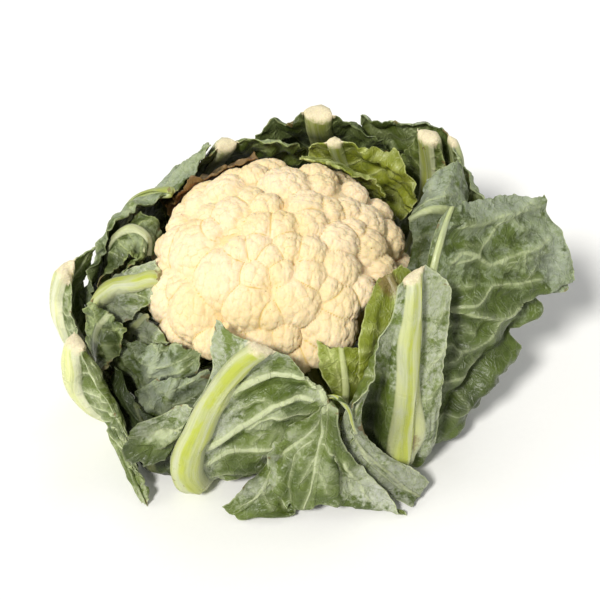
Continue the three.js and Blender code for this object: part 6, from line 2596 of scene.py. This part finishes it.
    def readings(self, fine: dict[str, np.ndarray], gap: np.ndarray, patches: tuple[Patch, ...],
                 length: float) -> dict[str, np.ndarray]:
        """Works out what the finish reads from the leaf's surface.

        Args:
            fine: The fine net.
            gap: How far each place lies outside the nearest vein.
            patches: The sheet's patches.
            length: The sheet's length.

        Returns:
            The readings, by name.
        """
        along, across, room = fine["along"], fine["across"], fine["room"]
        dome = np.sqrt(np.maximum(1 - np.minimum(np.abs(fine["mark"]), 1) ** 2, 0))
        ribbed = np.maximum(smooth(fine["half"], *self.rib_seen), smooth(room, *self.bare_room))
        margin = np.minimum(room * (1 - fine["edge"]), length - along)
        kinds = {mark: [patch for patch in patches if patch.mark is mark] for mark in Mark}
        return {
            "leaf": np.stack([along, across, np.full_like(along, self.seed * 17)], -1),
            "rib": dome * ribbed * self.trim.rib,
            "vein_gap": gap,
            "margin": margin + 6 * smooth(room, 1.2, 0.8),
            "cut": self.cut_distance(fine, length),
            "wax": np.clip(self.spread_of(kinds[Mark.WAX], along, across, self.plain_wax), 0, 1),
            "bruise": self.spread_of(kinds[Mark.BRUISE], along, across),
            # painted shade, from the sheet's shade patches
            "shade": np.clip(self.spread_of(kinds[Mark.SHADE], along, across), 0, 1),
        }

    def surface(self, net: Net, cover: Cover) -> tuple[np.ndarray, list[np.ndarray], dict[str, np.ndarray]]:
        """Builds the sheet's closed skin.

        Args:
            net: The plan's net, draped.
            cover: The fine map of what lies on the head so far.

        Returns:
            The skin's points, faces and readings.
        """
        markings = self.markings.laid(self.refine(net))
        fine = self.refine(net, markings.notches)
        length = net.knots[-1]
        rng = np.random.default_rng(int(self.seed * 1000) + 5)
        veins = self.marked_veins(markings.veins) if markings.veins else self.veins(fine, rng)
        gap, veined = self.raise_veins(veins, fine["along"], fine["across"])
        lift = self.lift(fine, gap, markings.folds, length)
        middle = fine["points"] + normals_of(fine["points"]) * lift[..., None]
        push = cover.push(middle - normals_of(middle) * self.fine_thickness, self.push_rounds)
        middle = middle + unit(middle - (0, 0, cover.centre)) * push[..., None]
        normals = normals_of(middle)
        veined = veined * smooth(fine["edge"], 0.0, self.vein_edge)
        outside, inside = self.fine_depths(fine, gap, veined, length)
        turned = bool((normals * unit(middle - (0, 0, cover.centre))).sum(axis=-1).mean() < 0)
        if turned:
            inside = inside + veined
        outer, inner = middle + normals * outside[..., None], middle - normals * inside[..., None]
        for face in (outer, inner):
            face[..., 2] = np.maximum(face[..., 2], self.ground / 2)
        return self.close(outer, inner, self.readings(fine, gap, markings.patches, length), turned)

    def cut_distance(self, fine: dict[str, np.ndarray], length: float) -> np.ndarray:
        """Returns how far each place lies from the rib's cut end.

        Args:
            fine: The fine net.
            length: The sheet's length.

        Returns:
            The distances, up to cut_far.
        """
        beside = np.maximum(np.abs(fine["across"]) - fine["half"] * self.cut_wide, 0)
        if not (self.has_cut() and self.trim.tan):
            return np.full_like(fine["along"], self.cut_far)
        return np.minimum((length - fine["along"]) + self.cut_beside * beside, self.cut_far)

    def close(self, outer: np.ndarray, inner: np.ndarray, readings: dict[str, np.ndarray],
              turned: bool) -> tuple[np.ndarray, list[np.ndarray], dict[str, np.ndarray]]:
        """Joins a sheet's two faces round its edge, in layers at the cut end.

        Args:
            outer: The outer face's net.
            inner: The inner face's net.
            readings: The readings of the nets.
            turned: Whether the sheet is turned over, with its inner face outwards.

        Returns:
            The skin's points, faces and readings.
        """
        rows, wide = outer.shape[:2]
        size = rows * wide
        index = np.arange(size).reshape(rows, wide)
        corners = [index[:-1, :-1], index[:-1, 1:], index[1:, 1:], index[1:, :-1]]
        out_quads = np.stack(corners, -1).reshape(-1, 4)
        in_quads = out_quads[:, ::-1] + size
        left, right = index[:, 0], index[:, -1]
        sides = [np.stack([left[:-1], left[1:], left[1:] + size, left[:-1] + size], -1),
                 np.stack([right[1:], right[:-1], right[:-1] + size, right[1:] + size], -1)]
        low = index[0]
        base = np.stack([low[1:], low[:-1], low[:-1] + size, low[1:] + size], -1)
        points = [outer.reshape(-1, 3), inner.reshape(-1, 3)]
        kept = {key: [v.reshape(size, -1), v.reshape(size, -1)] for key, v in readings.items()}
        outer_mark = [np.ones(size), np.zeros(size)]
        top = index[-1]
        before, caps = top, []
        tip_way = unit(outer[-1] - outer[-2]) * 0.5 + unit(inner[-1] - inner[-2]) * 0.5
        fibres = Roughness(int(self.seed * 10) + 31, 1.8, 20)
        total = 2 * size
        for k in range(1, self.cap_layers):
            share = k / self.cap_layers
            line = outer[-1] * (1 - share) + inner[-1] * share
            depth = np.linalg.norm(outer[-1] - inner[-1], axis=-1)
            bulge = 0.4 * fibres.at(line) + 4.2 * share * (1 - share) - 0.1
            bulge = bulge * np.minimum(1, depth / 4) ** 1.5
            line = line + tip_way * bulge[:, None]
            points.append(line)
            for key, value in readings.items():
                kept[key].append(value[-1].reshape(wide, -1))
            if self.has_cut() and self.trim.tan:
                cut = np.where(depth > self.cut_depth, self.cut_mark, readings["cut"][-1])
                kept["cut"][-1] = cut[:, None]
            outer_mark.append(np.full(wide, 1 - share))
            own = np.arange(total, total + wide)
            caps.append(np.stack([before[:-1], before[1:], own[1:], own[:-1]], -1))
            before, total = own, total + wide
        end = top + size
        caps.append(np.stack([before[:-1], before[1:], end[1:], end[:-1]], -1))
        for own_end, sign in ((0, 1), (-1, -1)):
            corner = 3 if own_end == 0 else 2
            run = [top[own_end]] + [cap[own_end, corner] for cap in caps[:-1]] + [end[own_end]]
            a, b = run[:-1], run[1:]
            hub = [run[0]] * len(a)
            rim = np.stack([hub, a, b] if sign < 0 else [hub, b, a], -1)[1:]
            caps.append(rim)
        joined = {key: np.concatenate(v) for key, v in kept.items()}
        joined = {key: v[:, 0] if v.shape[1] == 1 else v for key, v in joined.items()}
        joined["outer"] = np.concatenate(outer_mark)
        if turned:
            joined["outer"] = 1 - joined["outer"]
        quads = [part for part in (out_quads, in_quads, *sides, base, *caps) if part.shape[1] == 4]
        rims = [part for part in caps if part.shape[1] == 3]
        return np.concatenate(points), [np.concatenate(quads)] + rims, joined


@dataclass
class Leaf:
    """A leaf, made of one sheet or several that join."""

    plan: LeafPlan
    number: int

    def build(self, cover: Cover, skin: Cover,
              materials: dict[Leafage, bpy.types.Material]) -> bpy.types.Object:
        """Builds the leaf over what already lies on the head.

        Args:
            cover: The map of the nodes laid so far.
            skin: The fine map of the pieces laid so far.
            materials: The finishes' materials.

        Returns:
            The leaf's object, dressed and placed.
        """
        trim = TRIMS.get(self.plan.node, PLAIN_TRIM[self.plan.slot])
        points, faces, readings, start = [], [], {}, 0
        for k, sheet_plan in enumerate(self.plan.sheets):
            markings = MARKINGS.get((self.plan.node, k), Markings())
            sheet = Sheet(sheet_plan, self.number + 0.37 * k, self.plan.ruffle, trim, markings)
            net = sheet.middle()
            sheet.drape(net, cover)
            own_points, own_faces, own_readings = sheet.surface(net, skin)
            points.append(own_points)
            faces += [part + start for part in own_faces]
            for key, value in own_readings.items():
                readings.setdefault(key, []).append(value)
            start += len(own_points)
        skin.lay_points(np.concatenate(points))
        joined = {key: np.concatenate(parts) for key, parts in readings.items()}
        piece = mesh_piece(self.plan.node + "_blade", np.concatenate(points), faces, joined, 55)
        piece.data.materials.append(materials[trim.leafage])
        place_piece(piece, self.plan.node)
        return piece


@dataclass
class Nest:
    """The leaves round the head, laid from the innermost out."""

    plans: tuple[LeafPlan, ...] = LEAVES
    cover: Cover = field(default_factory=Cover)
    skin: Cover = field(default_factory=lambda: Cover(cell=1.25, gap=0.2, reach_in=9))

    def build(self, nodes: dict[str, bpy.types.Object], curd: np.ndarray) -> list[bpy.types.Object]:
        """Builds every leaf.

        Args:
            nodes: The head's nodes, which the leaves lie over.
            curd: The curd's points.

        Returns:
            The leaves' objects.
        """
        materials = {kind: kind.value.build() for kind in Leafage}
        self.cover.lay(nodes["curd"])
        self.skin.lay_points(curd)
        pieces = []
        for number, plan in enumerate(self.plans):
            pieces.append(Leaf(plan, number).build(self.cover, self.skin, materials))
            self.cover.lay(nodes[plan.node])
        for piece in pieces:
            painted_cover_shade = smooth(self.skin.over(points_of(piece)), 1.5, 9)
            layer = piece.data.attributes.new("painted_cover_shade", "FLOAT", "POINT")
            layer.data.foreach_set("value", painted_cover_shade.astype(np.float32))
        return pieces


@dataclass
class Studio:
    """A pale floor, soft lights and the camera."""

    sight: Sight = SIGHT
    floor_size: float = 6
    floor_colour: Colour = srgb("f4f4f2")

    def floor(self) -> None:
        """Lays the floor."""
        mesh = bpy.data.meshes.new("floor")
        half = self.floor_size / 2
        mesh.from_pydata([(-half, -half, 0), (half, -half, 0), (half, half, 0), (-half, half, 0)], [],
                         [(0, 1, 2, 3)])
        piece = bpy.data.objects.new("floor", mesh)
        bpy.context.scene.collection.objects.link(piece)
        g = Graph("floor_paper")
        grain = g.noise(g.place, 3, 2).outputs["Fac"]
        piece.data.materials.append(g.finish(
            g.mix(grain, self.floor_colour, srgb("f7f7f5")), 0.85, g.bump(grain, 0.02)))

    def lamp(self, name: str, place: tuple[float, float, float], spread: float, power: float,
             colour: Colour = (1, 1, 1)) -> None:
        """Hangs a far soft lamp, spread over some degrees, that faces the head.

        Args:
            name: The lamp's name.
            place: Which way it hangs from the head.
            spread: The angle that it seems wide.
            power: Its strength.
            colour: Its colour.
        """
        light = bpy.data.lights.new(name, "SUN")
        light.angle, light.energy, light.color = math.radians(spread), power, colour
        lamp = bpy.data.objects.new(name, light)
        lamp.location = place
        facing = Vector(self.sight.target) * MM - Vector(place)
        lamp.rotation_euler = facing.to_track_quat("-Z", "Y").to_euler()
        bpy.context.scene.collection.objects.link(lamp)

    def camera(self) -> None:
        """Sets the camera up."""
        data = bpy.data.cameras.new("camera")
        data.lens, data.sensor_width, data.dof.use_dof = self.sight.lens, self.sight.sensor, False
        camera = bpy.data.objects.new("camera", data)
        camera.location = Vector(self.sight.eye()) * MM
        camera.rotation_euler = Vector(self.sight.forward()).to_track_quat("-Z", "Y").to_euler()
        bpy.context.scene.collection.objects.link(camera)
        bpy.context.scene.camera = camera

    def build(self) -> None:
        """Sets up the whole studio."""
        self.floor()
        self.camera()
        self.lamp("key", (-0.44, -0.8, 1.0), 11, 3.05, (1, 0.98, 0.94))
        self.lamp("side", (-1, -0.1, 0.55), 40, 0.5)
        self.lamp("back", (0.3, 0.8, 1.2), 30, 0.5)
        world = bpy.data.worlds.new("studio")
        world.use_nodes = True
        world.node_tree.nodes["Background"].inputs["Color"].default_value = (1, 1, 1, 1)
        world.node_tree.nodes["Background"].inputs["Strength"].default_value = 0.33
        scene = bpy.context.scene
        scene.world = world
        scene.view_settings.view_transform = "Standard"


def main() -> None:
    """Dresses the head and sets up the studio."""
    logging.basicConfig(level=logging.INFO, format="%(message)s")
    Studio().build()
    curd = Curd().build()
    Stalk().build()
    leaves = Nest().build(frame["nodes"], points_of(curd))
    LOG.info("%d leaves", len(leaves))


if __name__ == "__main__":
    main()
